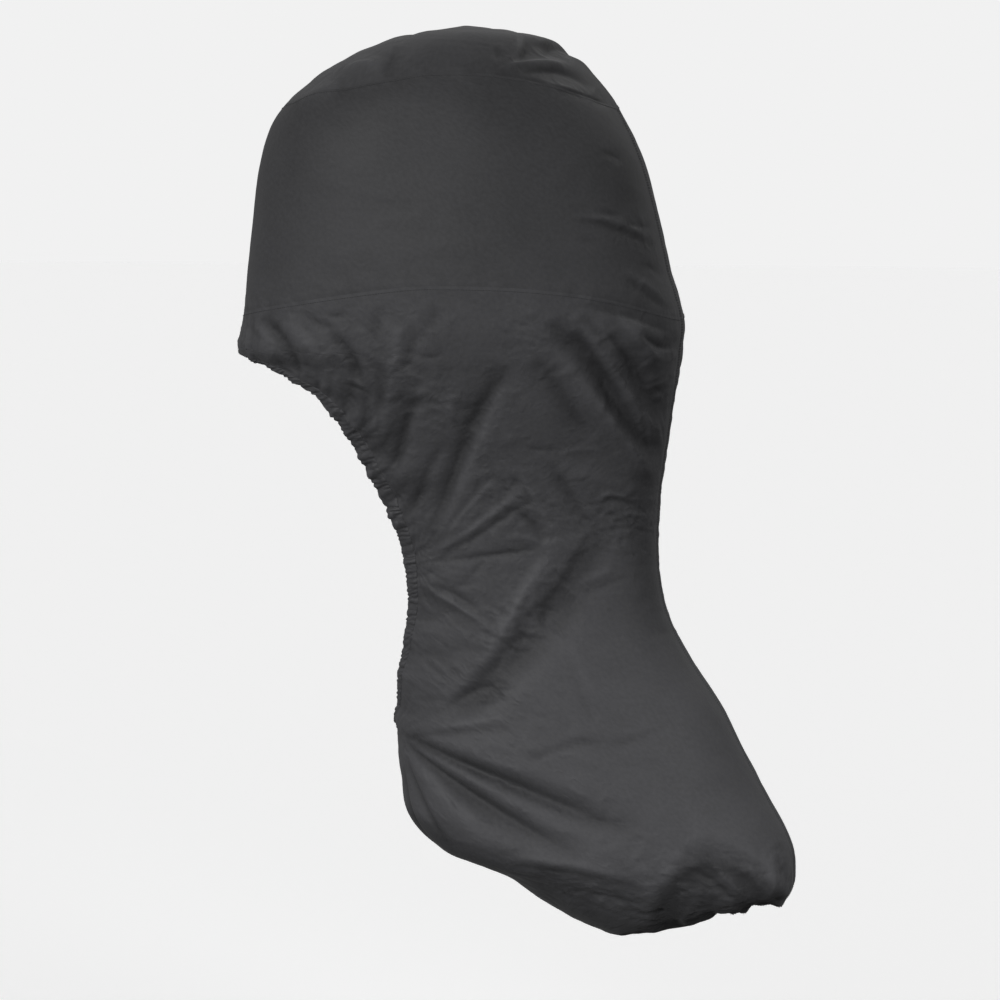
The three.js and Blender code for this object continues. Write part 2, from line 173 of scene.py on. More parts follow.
# Finer creases, in the same columns
CREASES = table(FOLD_COLUMNS, [
    # Crown
    (111, -20, 116, -66, 8, 6, 6, 3, 2, 0.5, 1.1, 0),
    (100, -85, 206, -72, 9, 6, 7, 6.5, 3, 0.6, 1.3, 0),
    (157, -105, 268, -138, 7, 6, 6, 4, 2, 0.6, 1.2, 0),
    (200, -121, 274, -148, 9, 6, 6, -4, -2, 0.6, 1.2, 0),
    (148, -29, 208, -74, 4, 9, 9, -5, -3, 0.5, 1.3, 0),
    (88, -41, 96, -70, 1, 5, 5, -2.6, -1, 0.5, 1.2, 0),
    (-92, -41, -103, -104, 2, 17, 17, -3.4, -3, 0.5, 2, 0.6),
    (-305, -135, -235, -105, 17, 9, 9, -4, -3, 0.5, 1.4, 0),
    # Back of the hood
    (232, -349, 365, -403, 16, 6, 11, -4.6, -3, 0.55, 1.15, 0),
    (241, -342, 362, -391, 16, 6, 9, 4, 3, 0.55, 1.15, 0),
    (282, -332, 316, -342, 0, 5, 5, -2, -1.4, 0.5, 1.1, 0),
    (319, -357, 355, -365, 2, 5, 5, -2.4, -2, 0.5, 1.1, 0),
    (319, -436, 394, -510, 7, 6, 9, 4, 3, 0.55, 1.15, 0),
    (325, -448, 394, -517, 3, 6, 11, -4.4, -3, 0.55, 1.15, 0),
    (278, -227, 312, -250, 3, 5, 5, -2, -1.6, 0.5, 1.1, 0),
    (347, -423, 376, -457, 4, 6, 6, -2.4, -2, 0.5, 1.1, 0),
    (250, -381, 282, -381, -4, 5, 5, -1.6, -1.2, 0.5, 1.1, 0),
    # Back of the body, below the hood seam
    (352, -547, 390, -582, -2, 5, 7, -5.5, -4, 0.6, 1.2, 0),
    (402, -547, 389, -584, 2, 5, 7, -4.5, -4, 0.6, 1.2, 0),
    (263, -513, 300, -564, 0, 6, 6, -3, -2.5, 0.5, 1.2, 0),
    (279, -515, 319, -586, 2, 6, 6, 3, 2.5, 0.5, 1.2, 0),
    (358, -655, 389, -633, 0, 5, 5, 2.8, 2, 0.5, 1.1, 0),
    (363, -638, 386, -679, 4, 5, 5, -3, -2, 0.5, 1.1, 0),
    (371, -673, 388, -657, 0, 5, 5, 2.4, 2, 0.5, 1.1, 0),
    (206, -523, 273, -599, 3, 33, 18, -6, -4, 0.45, 2, -0.3),
    # Middle of the body, fanning down to the hem
    (117, -652, -16, -940, 0, 13, 15, 4, 4, 0.45, 1.4, 0.2),
    (87, -693, 42, -748, -1, 5, 5, 4, 3, 0.5, 1.1, 0),
    (76, -689, 37, -741, -2, 5, 5, -3.4, -2, 0.5, 1.1, 0),
    (-28, -533, -54, -615, 3, 9, 9, -6, -5, 0.5, 1.3, -0.2),
    (-59, -669, -13, -649, 0, 5, 5, 3, 2, 0.5, 1.1, 0),
    (13, -499, -26, -567, 3, 9, 9, -3.8, -3, 0.5, 1.2, -0.2),
    (-91, -498, -106, -569, -1, 9, 9, -4.5, -4, 0.5, 1.2, -0.2),
    (-60, -531, -108, -743, 3, 13, 13, 5.5, 5, 0.5, 1.4, 0.2),
    (-129, -654, -140, -757, -2, 7, 9, -4.5, -3, 0.5, 1.2, -0.2),
    (-111, -627, -122, -755, 0, 6, 6, 3.4, 3, 0.5, 1.2, 0.2),
    (-177, -639, -111, -664, 4, 5, 5, -3.4, -2, 0.5, 1.1, 0),
    (-246, -515, -177, -544, -4, 9, 9, -5, -3, 0.5, 1.3, 0),
    (-213, -508, -153, -515, -7, 7, 7, -3, -2.5, 0.5, 1.2, 0),
    (-381, -540, -329, -574, 3, 5, 5, -3.4, -3, 0.5, 1.2, 0),
    (-348, -541, -300, -581, 1, 5, 5, 2.8, 2.4, 0.5, 1.2, 0),
    (-286, -531, -193, -622, 5, 15, 15, 4, 4, 0.5, 1.5, 0),
    (15, -741, -60, -869, -5, 11, 15, -6, -5, 0.5, 1.3, 0),
    (-21, -810, -76, -897, -1, 13, 13, -5, -4, 0.5, 1.4, 0),
    (20, -669, 56, -671, 11, 5, 5, 2.6, 2, 0.5, 1.1, 0),
    (29, -681, 78, -667, -8, 5, 5, -2.4, -2, 0.5, 1.1, 0),
    (-34, -579, 22, -578, -11, 7, 7, -3.4, -3, 0.5, 1.2, 0),
    # Star of creases at the hem, halfway down the opening
    (-45, -969, 160, -821, -3, 5, 5, 5.4, 4, 0.6, 1.1, 0),
    (-25, -972, 169, -840, -1, 5, 5, -4.6, -3, 0.58, 1.15, 0),
    (6, -917, 102, -808, 4, 5, 5, 4, 3, 0.55, 1.1, 0),
    (-5, -917, 83, -816, 2, 6, 6, -3.6, -3, 0.5, 1.2, 0),
    (-34, -967, 169, -936, -1, 5, 5, -6, -4, 0.68, 1.1, 0),
    (104, -922, 185, -929, 10, 5, 5, 3.4, 2.6, 0.55, 1.1, 0),
    (113, -860, 183, -929, 13, 6, 11, -5, -3, 0.6, 1.2, 0),
    (76, -889, 109, -933, 0, 5, 5, 2.8, 2.2, 0.5, 1.1, 0),
    (176, -931, 259, -914, 3, 5, 5, 2.8, 2, 0.4, 1.1, 0),
    (74, -960, 33, -1004, 1, 5, 5, -3.4, -2.4, 0.4, 1.1, 0),
    (-36, -1018, 85, -1084, 4, 5, 5, 5.4, 4.5, 0.45, 1.1, 0),
    (-26, -1006, 68, -1056, 4, 6, 6, -3.6, -3, 0.4, 1.2, 0),
    (17, -1004, 62, -999, -4, 5, 5, -2.4, -2, 0.5, 1.1, 0),
    (142, -779, 211, -919, -5, 7, 7, 2.6, 2.5, 0.5, 1.3, 0),
    (148, -747, 221, -752, -6, 5, 5, -2.2, -2, 0.5, 1.1, 0),
    (210, -767, 292, -758, 8, 5, 5, 2.6, 2.2, 0.5, 1.1, 0),
    # Waist
    (256, -854, 334, -859, 18, 5, 5, 3.6, 3, 0.5, 1.1, 0),
    (264, -863, 345, -875, 19, 6, 6, -2.8, -2.4, 0.5, 1.1, 0),
    (293, -888, 356, -899, 16, 5, 5, 2.4, 2.4, 0.5, 1.1, 0),
    (269, -910, 349, -914, 11, 6, 6, -2.2, -2.2, 0.5, 1.2, 0),
    (216, -786, 350, -842, 2, 17, 17, 3, 3, 0.5, 1.6, 0),
    (216, -919, 66, -1178, -11, 17, 18, 6, 5, 0.45, 1.4, 0.35),
    (238, -1011, 302, -974, 4, 6, 6, 3.6, 2.6, 0.5, 1.1, 0),
    (252, -1023, 324, -994, 5, 7, 7, -3, -2.4, 0.5, 1.2, 0),
    (225, -967, 182, -1036, -1, 6, 6, 2.8, 2.4, 0.5, 1.1, 0),
    (184, -1021, 145, -1095, 3, 6, 6, 3.4, 2.4, 0.5, 1.1, 0),
    (164, -1011, 132, -1078, -2, 5, 5, -3.4, -2.4, 0.5, 1.1, 0),
    (203, -1036, 172, -1091, -3, 5, 5, -3.4, -2.4, 0.5, 1.1, 0),
    (139, -1102, 99, -1166, -2, 6, 6, 2.8, 2.4, 0.5, 1.2, 0),
    (194, -967, 236, -1011, -2, 5, 5, -3, -2, 0.5, 1.1, 0),
    (164, -1036, 214, -1058, -3, 5, 5, -3, -2, 0.5, 1.1, 0),
    (138, -1073, 192, -1094, -5, 5, 5, 2.8, 2, 0.5, 1.1, 0),
    (113, -1114, 157, -1128, -3, 5, 5, -2.6, -2, 0.5, 1.1, 0),
    # Bag
    (150, -1330, 313, -1282, 15, 5, 5, -3.6, -2.4, 0.5, 1.1, 0),
    (297, -1286, 403, -1249, -9, 5, 5, -3.2, -2, 0.4, 1.1, 0),
    (231, -1100, 286, -1211, -7, 6, 6, 2, 1.4, 0.5, 1.2, 0),
    (238, -1172, 273, -1254, 1, 6, 6, -1.9, -1.4, 0.5, 1.2, 0),
    (1, -1230, 148, -1191, 17, 9, 7, -5, -4, 0.5, 1.2, 0),
    (11, -1248, 133, -1211, 16, 9, 7, -4.6, -3.6, 0.55, 1.2, 0),
    (-15, -1271, 138, -1241, 2, 7, 7, 3.4, 2.6, 0.45, 1.2, 0),
    (-82, -1299, 149, -1266, 6, 6, 6, -3.8, -3, 0.35, 1.1, 0),
    (-62, -1223, 1, -1218, -3, 5, 5, -2.4, -2, 0.5, 1.1, 0),
    (-57, -1291, 390, -1428, 14, 11, 26, 2, 4, 0.3, 1.6, 0),
    # Turn of the bag under its foot
    (105, -1500, 364, -1530, 11, 15, 13, 5, 5, 0.5, 1.3, -0.3),
    (113, -1517, 363, -1546, 9, 11, 13, -6, -4, 0.5, 1.3, 0),
    (213, -1554, 402, -1596, 9, 7, 9, -4, -4, 0.5, 1.2, 0),
    (325, -1594, 446, -1610, -1, 6, 6, -6, -4, 0.5, 1.1, 0),
    (468, -1458, 601, -1575, 35, 11, 9, 3, 3, 0.6, 1.2, -0.3),
    (447, -1505, 540, -1585, 7, 6, 6, -6, -4, 0.5, 1.1, 0),
    (478, -1495, 554, -1573, 4, 6, 6, 3.4, 3, 0.5, 1.1, 0),
    (549, -1501, 578, -1565, 3, 6, 6, 3.6, 3, 0.5, 1.1, 0),
    (592, -1490, 600, -1555, 5, 6, 6, -3, -3, 0.5, 1.2, 0),
    (580, -1489, 608, -1500, 7, 6, 6, -3, -3, 0.5, 1.2, 0),
])

# Patches of crumpled cloth in the side view: middle, half the length and half the width, the
# direction of the crumples, their pitch and how much longer than wide they are, the height.
PATCHES = table("x z length width turn pitch stretch port starboard", [
    (300, -660, 190, 80, -60, 26, 3.0, 1.4, 2.2),
    (200, -560, 70, 40, -40, 15, 2.2, 1.6, 1.6),
    (20, -640, 190, 150, -66, 42, 3.0, 1.2, 1.8),
    (-190, -590, 110, 50, -50, 24, 2.4, 1.8, 2.0),
    (-66, -600, 40, 26, 66, 12, 1.5, 2.2, 1.8),
    (30, -690, 80, 40, -50, 16, 2.2, 1.8, 1.6),
    (130, -830, 80, 50, -42, 12, 1.8, 2.0, 1.6),
    (280, -890, 110, 60, -18, 12, 1.8, 1.9, 1.8),
    (140, -1060, 110, 45, 52, 12, 2.0, 2.4, 1.8),
    (0, -1110, 120, 90, -20, 30, 2.4, 1.0, 1.8),
    (240, -1170, 170, 130, -60, 46, 2.2, 0.5, 0.8),
    (150, -1360, 230, 110, -24, 60, 2.6, 0.7, 0.8),
    (260, -1570, 200, 45, -14, 14, 3.0, 1.7, 1.8),
    (480, -1560, 100, 60, -44, 14, 2.4, 2.2, 2.2),
    (590, -1540, 40, 60, 70, 14, 2.6, 1.6, 1.6),
    (390, -900, 60, 260, 0, 30, 3.0, 1.2, 1.6),
    (400, -600, 60, 110, 8, 24, 2.4, 1.2, 1.6),
    (520, -1300, 90, 150, -58, 40, 2.6, 0.8, 1.3),
])

# Creases on the crown, seen from above
CROWN_CREASES = table("x0 y0 x1 y1 bow wide0 wide1 height peak sharp lean", [
    (96, -60, 100, 170, -10, 11, 11, -6.0, 0.4, 1.4, 0),
    (170, -100, 214, 80, 10, 13, 13, -7.0, 0.4, 1.3, 0),
    (150, -70, 190, 60, 4, 10, 10, 4.0, 0.4, 1.4, 0),
    (200, -60, 236, 90, 8, 12, 12, 4.0, 0.5, 1.4, 0),
    (60, -60, 72, 130, 6, 12, 12, -3.0, 0.5, 1.4, 0),
    (-90, -130, -84, 40, 3, 10, 10, -3.5, 0.4, 1.3, 0),
    (-215, -80, -180, 60, 0, 13, 13, -3.5, 0.5, 1.5, 0),
    (-160, 60, -130, 190, 8, 13, 13, -4.5, 0.5, 1.4, 0),
    (-240, 60, -215, 160, 0, 12, 12, 3.5, 0.5, 1.5, 0),
    (30, 120, 120, 190, 0, 11, 11, 3.0, 0.5, 1.4, 0),
])

# Pleats that radiate from a place where the hem draws the cloth together
BURSTS = table("x z pleats reach port starboard", [
    (-118, -1301, 30, 42, 2.4, 2.6),
    (-62, -966, 26, 40, 1.8, 1.8),
    (-172, -742, 22, 40, 1.8, 2.0),
    (420, -1640, 18, 70, 1.8, 2.0),
])

# Gathers along the hem: pitch, height, and how far in they reach
HEM_GATHERS = table("pitch height reach slant", [
    (13, 1.8, 20, 0.15),
    (29, 2.6, 38, 0.3),
    (57, 2.4, 75, 0.45),
])
HEM_CRUMPLE = 2.2

# Width of the hem's casing along the opening, from its top to its pinch
CASING_WIDTH = table("along width", [(0, 24), (0.12, 32), (0.5, 34), (0.72, 26), (1, 14)])
CASING_LIFT = 2.6
CASING_GATHER = 12.0
# Painted shade over the whole casing, in the units of the tone
CASING_SHADE = -0.5
CASING_GRID = (860, 22)

# Drawing together of the foot
FOOT_GATHERS = table("onset pitch height reach", [
    (20.5, 74, 7.0, 95),
    (21.5, 31, 3.0, 60),
])

# The cloth is tucked in under the toe, below this line in the side view
TUCK_LINE = table("x z", [(300, -1640), (360, -1590), (410, -1520), (445, -1466), (485, -1450),
                          (530, -1460), (570, -1490), (598, -1535), (618, -1600)])
TUCK_DEPTH = 15.0
TUCK_REACH = 60.0
TUCK_ROUNDING = 6.0
TUCK_START = (300, 420)

# Seams: groove, rolled edge beside it, and puckers along it
SEAM_GROOVE = 0.12
SEAM_GROOVE_WIDTH = 3.0
SEAM_ROLL = 0.12
SEAM_ROLL_PLACE = 7.0
SEAM_ROLL_WIDTH = 4.0
SEAM_PUCKER = 1.0
SEAM_PUCKER_PITCH = 24.0
SEAM_PUCKER_REACH = 20.0

# Painted shade: how much darker the cloth is painted where it faces down, the range of facing over
# which it darkens, the least share of it, and the depths between which the rest comes in
UNDERSIDE_SHADE = 0.9
UNDERSIDE_FACING = (0.12, 0.42)
UNDERSIDE_LEAST = 0.3
UNDERSIDE_DEPTHS = (1150, 1400)

# Painted light: how much paler the crown is painted towards the front, and darker towards the back
CROWN_FRONT_LIGHT = 0.6

# Windows against which a point's height is read as painted light and shade, paler on ridges and
# darker in troughs: how far each reaches, the height that counts in full, and its share
RIDGE_WINDOWS = ((4, 2.2, 0.45), (20, 8, 0.65))

# Distance of each side's edges from the centre plane
SIDE_GAP = 0.12

# Rows and columns of the meshes
CROWN_GRID = (84, 320)
HOOD_GRID = (126, 208)
BODY_GRID = (312, 154)
BODY_ROW_PLACES = ((0, 0.62, 0.88, 1), (0, 0.5, 0.83, 1))
EDGE_COLUMNS = ((0, 0.08, 0.92, 1), (0, 0.05, 0.95, 1))
BACK_COLUMNS = ((0, 0.08, 1), (0, 0.05, 1))

NOISE_TURNS = np.random.default_rng(11).random((64, 64)) * 2 * np.pi


def smoothstep(value, low, high):
    """0 below low and 1 above high, with an eased curve between them."""
    share = np.clip((value - low) / (high - low), 0, 1)
    return share * share * (3 - 2 * share)


def noise(a, b, seed=0):
    """Gradient noise from about -1 to 1 with one swell for each unit: the four corners of a cell
    each give a slope in a fixed random direction, and an eased blend joins them."""
    a = np.asarray(a, float) + 17.31 * seed
    b = np.asarray(b, float) - 11.73 * seed
    column, row = np.floor(a).astype(int), np.floor(b).astype(int)
    in_a, in_b = a - column, b - row

    def corner(step_a, step_b):
        turn = NOISE_TURNS[(column + step_a) % 64, (row + step_b) % 64]
        return np.cos(turn) * (in_a - step_a) + np.sin(turn) * (in_b - step_b)

    ease_a = in_a**3 * (in_a * (6 * in_a - 15) + 10)
    ease_b = in_b**3 * (in_b * (6 * in_b - 15) + 10)
    low = corner(0, 0) + ease_a * (corner(1, 0) - corner(0, 0))
    high = corner(0, 1) + ease_a * (corner(1, 1) - corner(0, 1))
    return 1.6 * (low + ease_b * (high - low))


def crumple(along, across, seed):
    """Crumpled cloth, about -1 to 1: crisp ridges along the zero lines of a noise that a second
    noise bends, over a soft noise twice as wide."""
    bent = across + 0.55 * noise(along * 0.7, across * 0.7, seed + 3)
    ridge = 1 - 2.4 * np.sqrt(noise(along, bent, seed) ** 2 + 0.012)
    return 0.75 * ridge + 0.6 * noise(along * 0.5, across * 0.5, seed + 5)


def gather_wave(run, pitch, seed):
    """Gathers, 0 in a valley and 1 on a hump: the size of a cosine whose pitch wanders, raised to
    a power under 1, so that the humps are round and the valleys sharp."""
    wander = 0.9 * noise(run / (2.6 * pitch), np.zeros_like(run), seed)
    return np.abs(np.cos(np.pi * (run / pitch + wander))) ** 0.75


def section_values(section):
    """Uniform Catmull-Rom curve through the section table, one column for each of its values."""
    section = np.clip(section, 0, LAST)
    first = np.minimum(section.astype(int), LAST - 1)
    part = (section - first)[..., None]
    ends = (2 * SECTIONS[:1] - SECTIONS[1:2], 2 * SECTIONS[-1:] - SECTIONS[-2:-1])
    rows = np.vstack([ends[0], SECTIONS, ends[1]])
    p0, p1, p2, p3 = (rows[first + step] for step in range(4))
    curve = 2 * p1 + (p2 - p0) * part
    curve += (2 * p0 - 5 * p1 + 4 * p2 - p3) * part**2
    curve += (3 * p1 - p0 - 3 * p2 + p3) * part**3
    return curve / 2


def wrap_angle(section):
    """Angle from the back at which the cloth ends: half a turn where the section is closed, less
    beside the opening."""
    share = np.clip((section - OPENING_TOP) / (OPENING_PINCH - OPENING_TOP), 0, 1)
    opened = np.sqrt(4 * share * (1 - share)) * (1 - OPENING_EASE * share)
    return np.radians(180 - OPENING_TURN * opened)


def square_radius(angle, square):
    """Radius of a rounded square of half width 1, at an angle from the middle of one side."""
    along = np.abs(np.cos(angle)) ** square
    across = np.abs(np.sin(angle)) ** square
    return (along + across) ** (-1 / square)


def ring_point(section, angle):
    """Smooth cloth in millimetres at an angle from the back: each section is a rounded square
    between its back and its front."""
    section, angle = np.broadcast_arrays(np.asarray(section, float), np.asarray(angle, float))
    front_x, front_z, back_x, back_z, half_width, square = np.moveaxis(
        section_values(section), -1, 0
    )
    half_x, half_z = (back_x - front_x) / 2, (back_z - front_z) / 2
    radius = square_radius(angle, square)
    from_back = radius * np.cos(angle) - 1
    return np.stack([
        back_x + half_x * from_back,
        half_width * radius * np.sin(angle),
        back_z + half_z * from_back,
    ], -1)


def smooth_surface(section, share):
    """Smooth cloth at a share of the way round: 0 is the back, -1 the port edge, 1 the other."""
    section, share = np.broadcast_arrays(np.asarray(section, float), np.asarray(share, float))
    return ring_point(section, share * wrap_angle(section))


def unit(vectors):
    """The same vectors at length 1."""
    return vectors / np.maximum(np.linalg.norm(vectors, axis=-1, keepdims=True), 1e-12)


def surface_normal(section, share):
    """Outward normal of the smooth cloth, from its slopes down and round."""
    step = 0.02
    low = np.minimum(section + step, LAST - step)
    high = np.maximum(np.minimum(section, LAST - step) - step, step)
    middle = (low + high) / 2
    angle = share * wrap_angle(section)
    down = ring_point(low, angle) - ring_point(high, angle)
    round_it = ring_point(middle, angle + step) - ring_point(middle, angle - step)
    return unit(np.cross(down, round_it))


def measure_rings():
    """Arc from the back to each angle of each section, and the mean length down to the section."""
    section = np.linspace(0, LAST, 261)
    angle = np.linspace(0, np.pi, 91)
    points = ring_point(section[:, None], angle[None, :])
    arcs = np.linalg.norm(np.diff(points, axis=1), axis=2).cumsum(1)
    step = np.linalg.norm(np.diff(points, axis=0), axis=2).mean(1)
    arcs = np.hstack([np.zeros((len(section), 1)), arcs])
    return section, arcs, np.concatenate([[0], np.cumsum(step)])


SECTION_LIST, RING_ARCS, LENGTH_DOWN = measure_rings()


def cloth_place(section, share):
    """Place on the flat cloth in millimetres: run from the centre back, and length from the top."""
    across = np.abs(share) * wrap_angle(section) / np.pi * (RING_ARCS.shape[1] - 1)
    along = np.clip(section / LAST, 0, 1) * (RING_ARCS.shape[0] - 1)
    row = np.minimum(along.astype(int), RING_ARCS.shape[0] - 2)
    column = np.minimum(across.astype(int), RING_ARCS.shape[1] - 2)
    in_row, in_column = along - row, across - column
    above = RING_ARCS[row, column] * (1 - in_column) + RING_ARCS[row, column + 1] * in_column
    below = RING_ARCS[row + 1, column] * (1 - in_column)
    below += RING_ARCS[row + 1, column + 1] * in_column
    run = above * (1 - in_row) + below * in_row
    return run, np.interp(section, SECTION_LIST, LENGTH_DOWN)


def seam_section(seam, share):
    """Section at which a seam lies, at each share of the way round."""
    to_back = np.cos(share * np.pi)
    power = np.where(to_back > 0, seam["back"], seam["front"])
    return seam["sides"] + (seam["ends"] - seam["sides"]) * np.abs(to_back) ** power


def seam_distance(seam, section, share):
    """Distance down from a seam in millimetres, below 0 above it."""
    low, high = np.minimum(section + 0.05, LAST), np.maximum(section - 0.05, 0)
    angle = share * wrap_angle(section)
    step = ring_point(low, angle) - ring_point(high, angle)
    slope = np.linalg.norm(step, axis=-1) / np.maximum(low - high, 1e-6)
    return (section - seam_section(seam, share)) * slope


def hem_line(side, count=640):
    """Sections, points and length run along the edge of the opening, from its top to its pinch."""
    section = np.linspace(OPENING_TOP, OPENING_PINCH, count)
    points = smooth_surface(section, np.full(count, float(side)))
    run = np.concatenate([[0], np.cumsum(np.linalg.norm(np.diff(points, axis=0), axis=1))])
    return section, points, run


def hem_place(points, side):
    """Distance from the hem and length run along it, from the nearest point of the hem line."""
    _, line, run = hem_line(side, 320)
    flat = points.reshape(-1, 3)
    square = (flat**2).sum(1)[:, None] + (line**2).sum(1)[None, :] - 2 * flat @ line.T
    nearest = square.argmin(1)
    along = unit(np.gradient(line, axis=0))[nearest]
    offset = flat - line[nearest]
    slide = (offset * along).sum(1)
    away = np.linalg.norm(offset - along * slide[:, None], axis=1)
    ends = (nearest == 0) | (nearest == len(line) - 1)
    away = np.where(ends, np.linalg.norm(offset, axis=1), away)
    return away.reshape(points.shape[:-1]), (run[nearest] + slide).reshape(points.shape[:-1])


def crease_heights(creases, a, b, names, height):
    """Sum of creases: along each, a bell between its two ends; across it, the exponential of the
    distance over the width to the power of its sharpness."""
    a0, b0, a1, b1 = (creases[name] for name in names)
    length = np.hypot(a1 - a0, b1 - b0)
    along_a, along_b = (a1 - a0) / length, (b1 - b0) / length
    from_a, from_b = a[..., None] - a0, b[..., None] - b0
    along = (from_a * along_a + from_b * along_b) / length
    aside = from_b * along_a - from_a * along_b - creases["bow"] * 4 * along * (1 - along)
    peak, part = creases["peak"], np.clip(along, 0, 1)
    width = creases["wide0"] + (creases["wide1"] - creases["wide0"]) * part
    width = width * (1 + creases["lean"] * np.sign(aside))
    bell = (part / peak) ** (2 * peak) * ((1 - part) / (1 - peak)) ** (2 * (1 - peak))
    edge = np.sqrt((aside / width) ** 2 + 0.02)
    return (height * bell * np.exp(-(edge ** creases["sharp"]))).sum(-1)


def side_values(rows, side):
    """The port or starboard column of a table, for each point's side."""
    return np.where(side[..., None] < 0, rows["port"], rows["starboard"])


def patch_heights(x, z, run, down, side):
    """Sum of crumpled patches: an oval mask in the side view times crumples that follow the cloth,
    turned to the patch's direction."""
    total = np.zeros_like(x)
    height = side_values(PATCHES, side)
    for number in range(len(PATCHES["x"])):
        patch = {name: PATCHES[name][number] for name in PATCHES}
        turn = math.radians(patch["turn"])
        from_x, from_z = x - patch["x"], z - patch["z"]
        along = from_x * math.cos(turn) + from_z * math.sin(turn)
        across = from_z * math.cos(turn) - from_x * math.sin(turn)
        radius = (along / patch["length"]) ** 2 + (across / patch["width"]) ** 2
        cloth_along = (-run * math.cos(turn) - down * math.sin(turn)) / patch["stretch"]
        cloth_across = -down * math.cos(turn) + run * math.sin(turn)
        seed = 2 * number + 40 * (side > 0)
        shape = crumple(cloth_along / patch["pitch"], cloth_across / patch["pitch"], seed)
        total += height[..., number] * np.exp(-(radius**1.5)) * shape
    return total


def burst_heights(x, z, side):
    """Sum of bursts: gathers round the angle about a point, rising and dying with the radius."""
    total = np.zeros_like(x)
    height = side_values(BURSTS, side)
    for number in range(len(BURSTS["x"])):
        burst = {name: BURSTS[name][number] for name in BURSTS}
        from_x, from_z = x - burst["x"], z - burst["z"]
        radius = np.hypot(from_x, from_z) / burst["reach"]
        turn = np.arctan2(from_z, from_x) / (2 * np.pi) * burst["pleats"]
        wave = gather_wave(turn, 1.0, 3 + number) - 0.62
        total += height[..., number] * wave * 2.2 * radius**0.8 * np.exp(-(radius**1.2))
    return total


def hem_heights(section, share, points, side_name):
    """Gathers that run in from the hem, each set dying with the distance and uneven along it,
    crumples beside them, and the slow wave of the frame's hem."""
    away, run = hem_place(points, SIDES[side_name])
    total_run = hem_line(SIDES[side_name])[2][-1]
    fade = smoothstep(run, 0, 60) * (1 - 0.55 * smoothstep(run, 0.6 * total_run, 0.8 * total_run))
    seed = 20 + 9 * SIDES[side_name]
    total = HEM_CRUMPLE * fade * crumple(run / 26, away / 17, seed + 6) * np.exp(-away / 42)
    for number, pitch in enumerate(HEM_GATHERS["pitch"]):
        slanted = run + HEM_GATHERS["slant"][number] * away
        wave = gather_wave(slanted, pitch, seed + number) - 0.62
        reach = HEM_GATHERS["reach"][number]
        uneven = np.clip(1 + 1.3 * noise(run / (2.3 * pitch), away / 60, seed + 12 + number), 0, 2)
        height = 2 * HEM_GATHERS["height"][number] * uneven
        total += height * wave * fade * np.exp(-away / reach)
    inside = smoothstep(section, OPENING_TOP, OPENING_TOP + 0.8)
    inside *= smoothstep(-section, -OPENING_PINCH, 0.4 - OPENING_PINCH)
    slow = np.cos(2 * np.pi * HEM_WAVE_RATE * (section - OPENING_TOP))
    return total + HEM_WAVE_HEIGHT * slow * inside * np.exp(-(1 - np.abs(share)) / HEM_WAVE_REACH)


def foot_heights(section, points):
    """Gathers across the underside of the foot, dying with the distance from the centre plane."""
    total = np.zeros(section.shape)
    for number, pitch in enumerate(FOOT_GATHERS["pitch"]):
        onset = FOOT_GATHERS["onset"][number]
        start = smoothstep(section, onset, onset + 2) * (1 - smoothstep(section, LAST - 1, LAST))
        start *= 0.25 + 0.75 * smoothstep(points[..., 0], 280, 420)
        wander = 0.25 * number * noise(points[..., 0] / pitch / 2, points[..., 1] / 200, 8)
        wave = np.cos(2 * np.pi * (points[..., 0] / pitch + wander))
        reach = np.exp(-np.abs(points[..., 1]) / FOOT_GATHERS["reach"][number])
        total += FOOT_GATHERS["height"][number] * start * wave * reach
    return total


def toe_tuck(x, z):
    """How far the cloth is tucked in under the toe, from 0 at the tuck line to 1: a ramp down from
    the line with a rounded start, faded in towards the toe."""
    below = np.interp(x, TUCK_LINE["x"], TUCK_LINE["z"]) - z
    ramp = (below + np.sqrt(below**2 + TUCK_ROUNDING**2)) / 2 / TUCK_REACH
    return np.clip(ramp, 0, 1) * smoothstep(x, *TUCK_START)


def seam_relief(distance, run, seed):
    """Profile across a seam: a groove on it and a rolled edge each side, with puckers along it."""
    groove = -SEAM_GROOVE * np.exp(-((distance / SEAM_GROOVE_WIDTH) ** 2))
    aside = (np.abs(distance) - SEAM_ROLL_PLACE) / SEAM_ROLL_WIDTH
    pucker = noise(run / SEAM_PUCKER_PITCH, distance / 90, seed)
    pucker = SEAM_PUCKER * pucker * np.exp(-np.abs(distance) / SEAM_PUCKER_REACH)
    return groove + SEAM_ROLL * np.exp(-(aside**2)) + pucker


def centre_seams(section, share, points):
    """Seams in the centre plane: down the back of the hood and the body, and at the front above
    and below the opening."""
    below_crown = smoothstep(seam_distance(CROWN_SEAM, section, share), 0, 8)
    closed = (section < OPENING_TOP) | (section > OPENING_PINCH)
    at_front = (np.abs(share) > 0.5) & ~closed
    distance = np.where(at_front, 200.0, np.abs(points[..., 1]))
    down = np.interp(section, SECTION_LIST, LENGTH_DOWN)
    ends = smoothstep(LAST - section, 0.1, 0.5)
    return below_crown * ends * seam_relief(distance, down, 31)


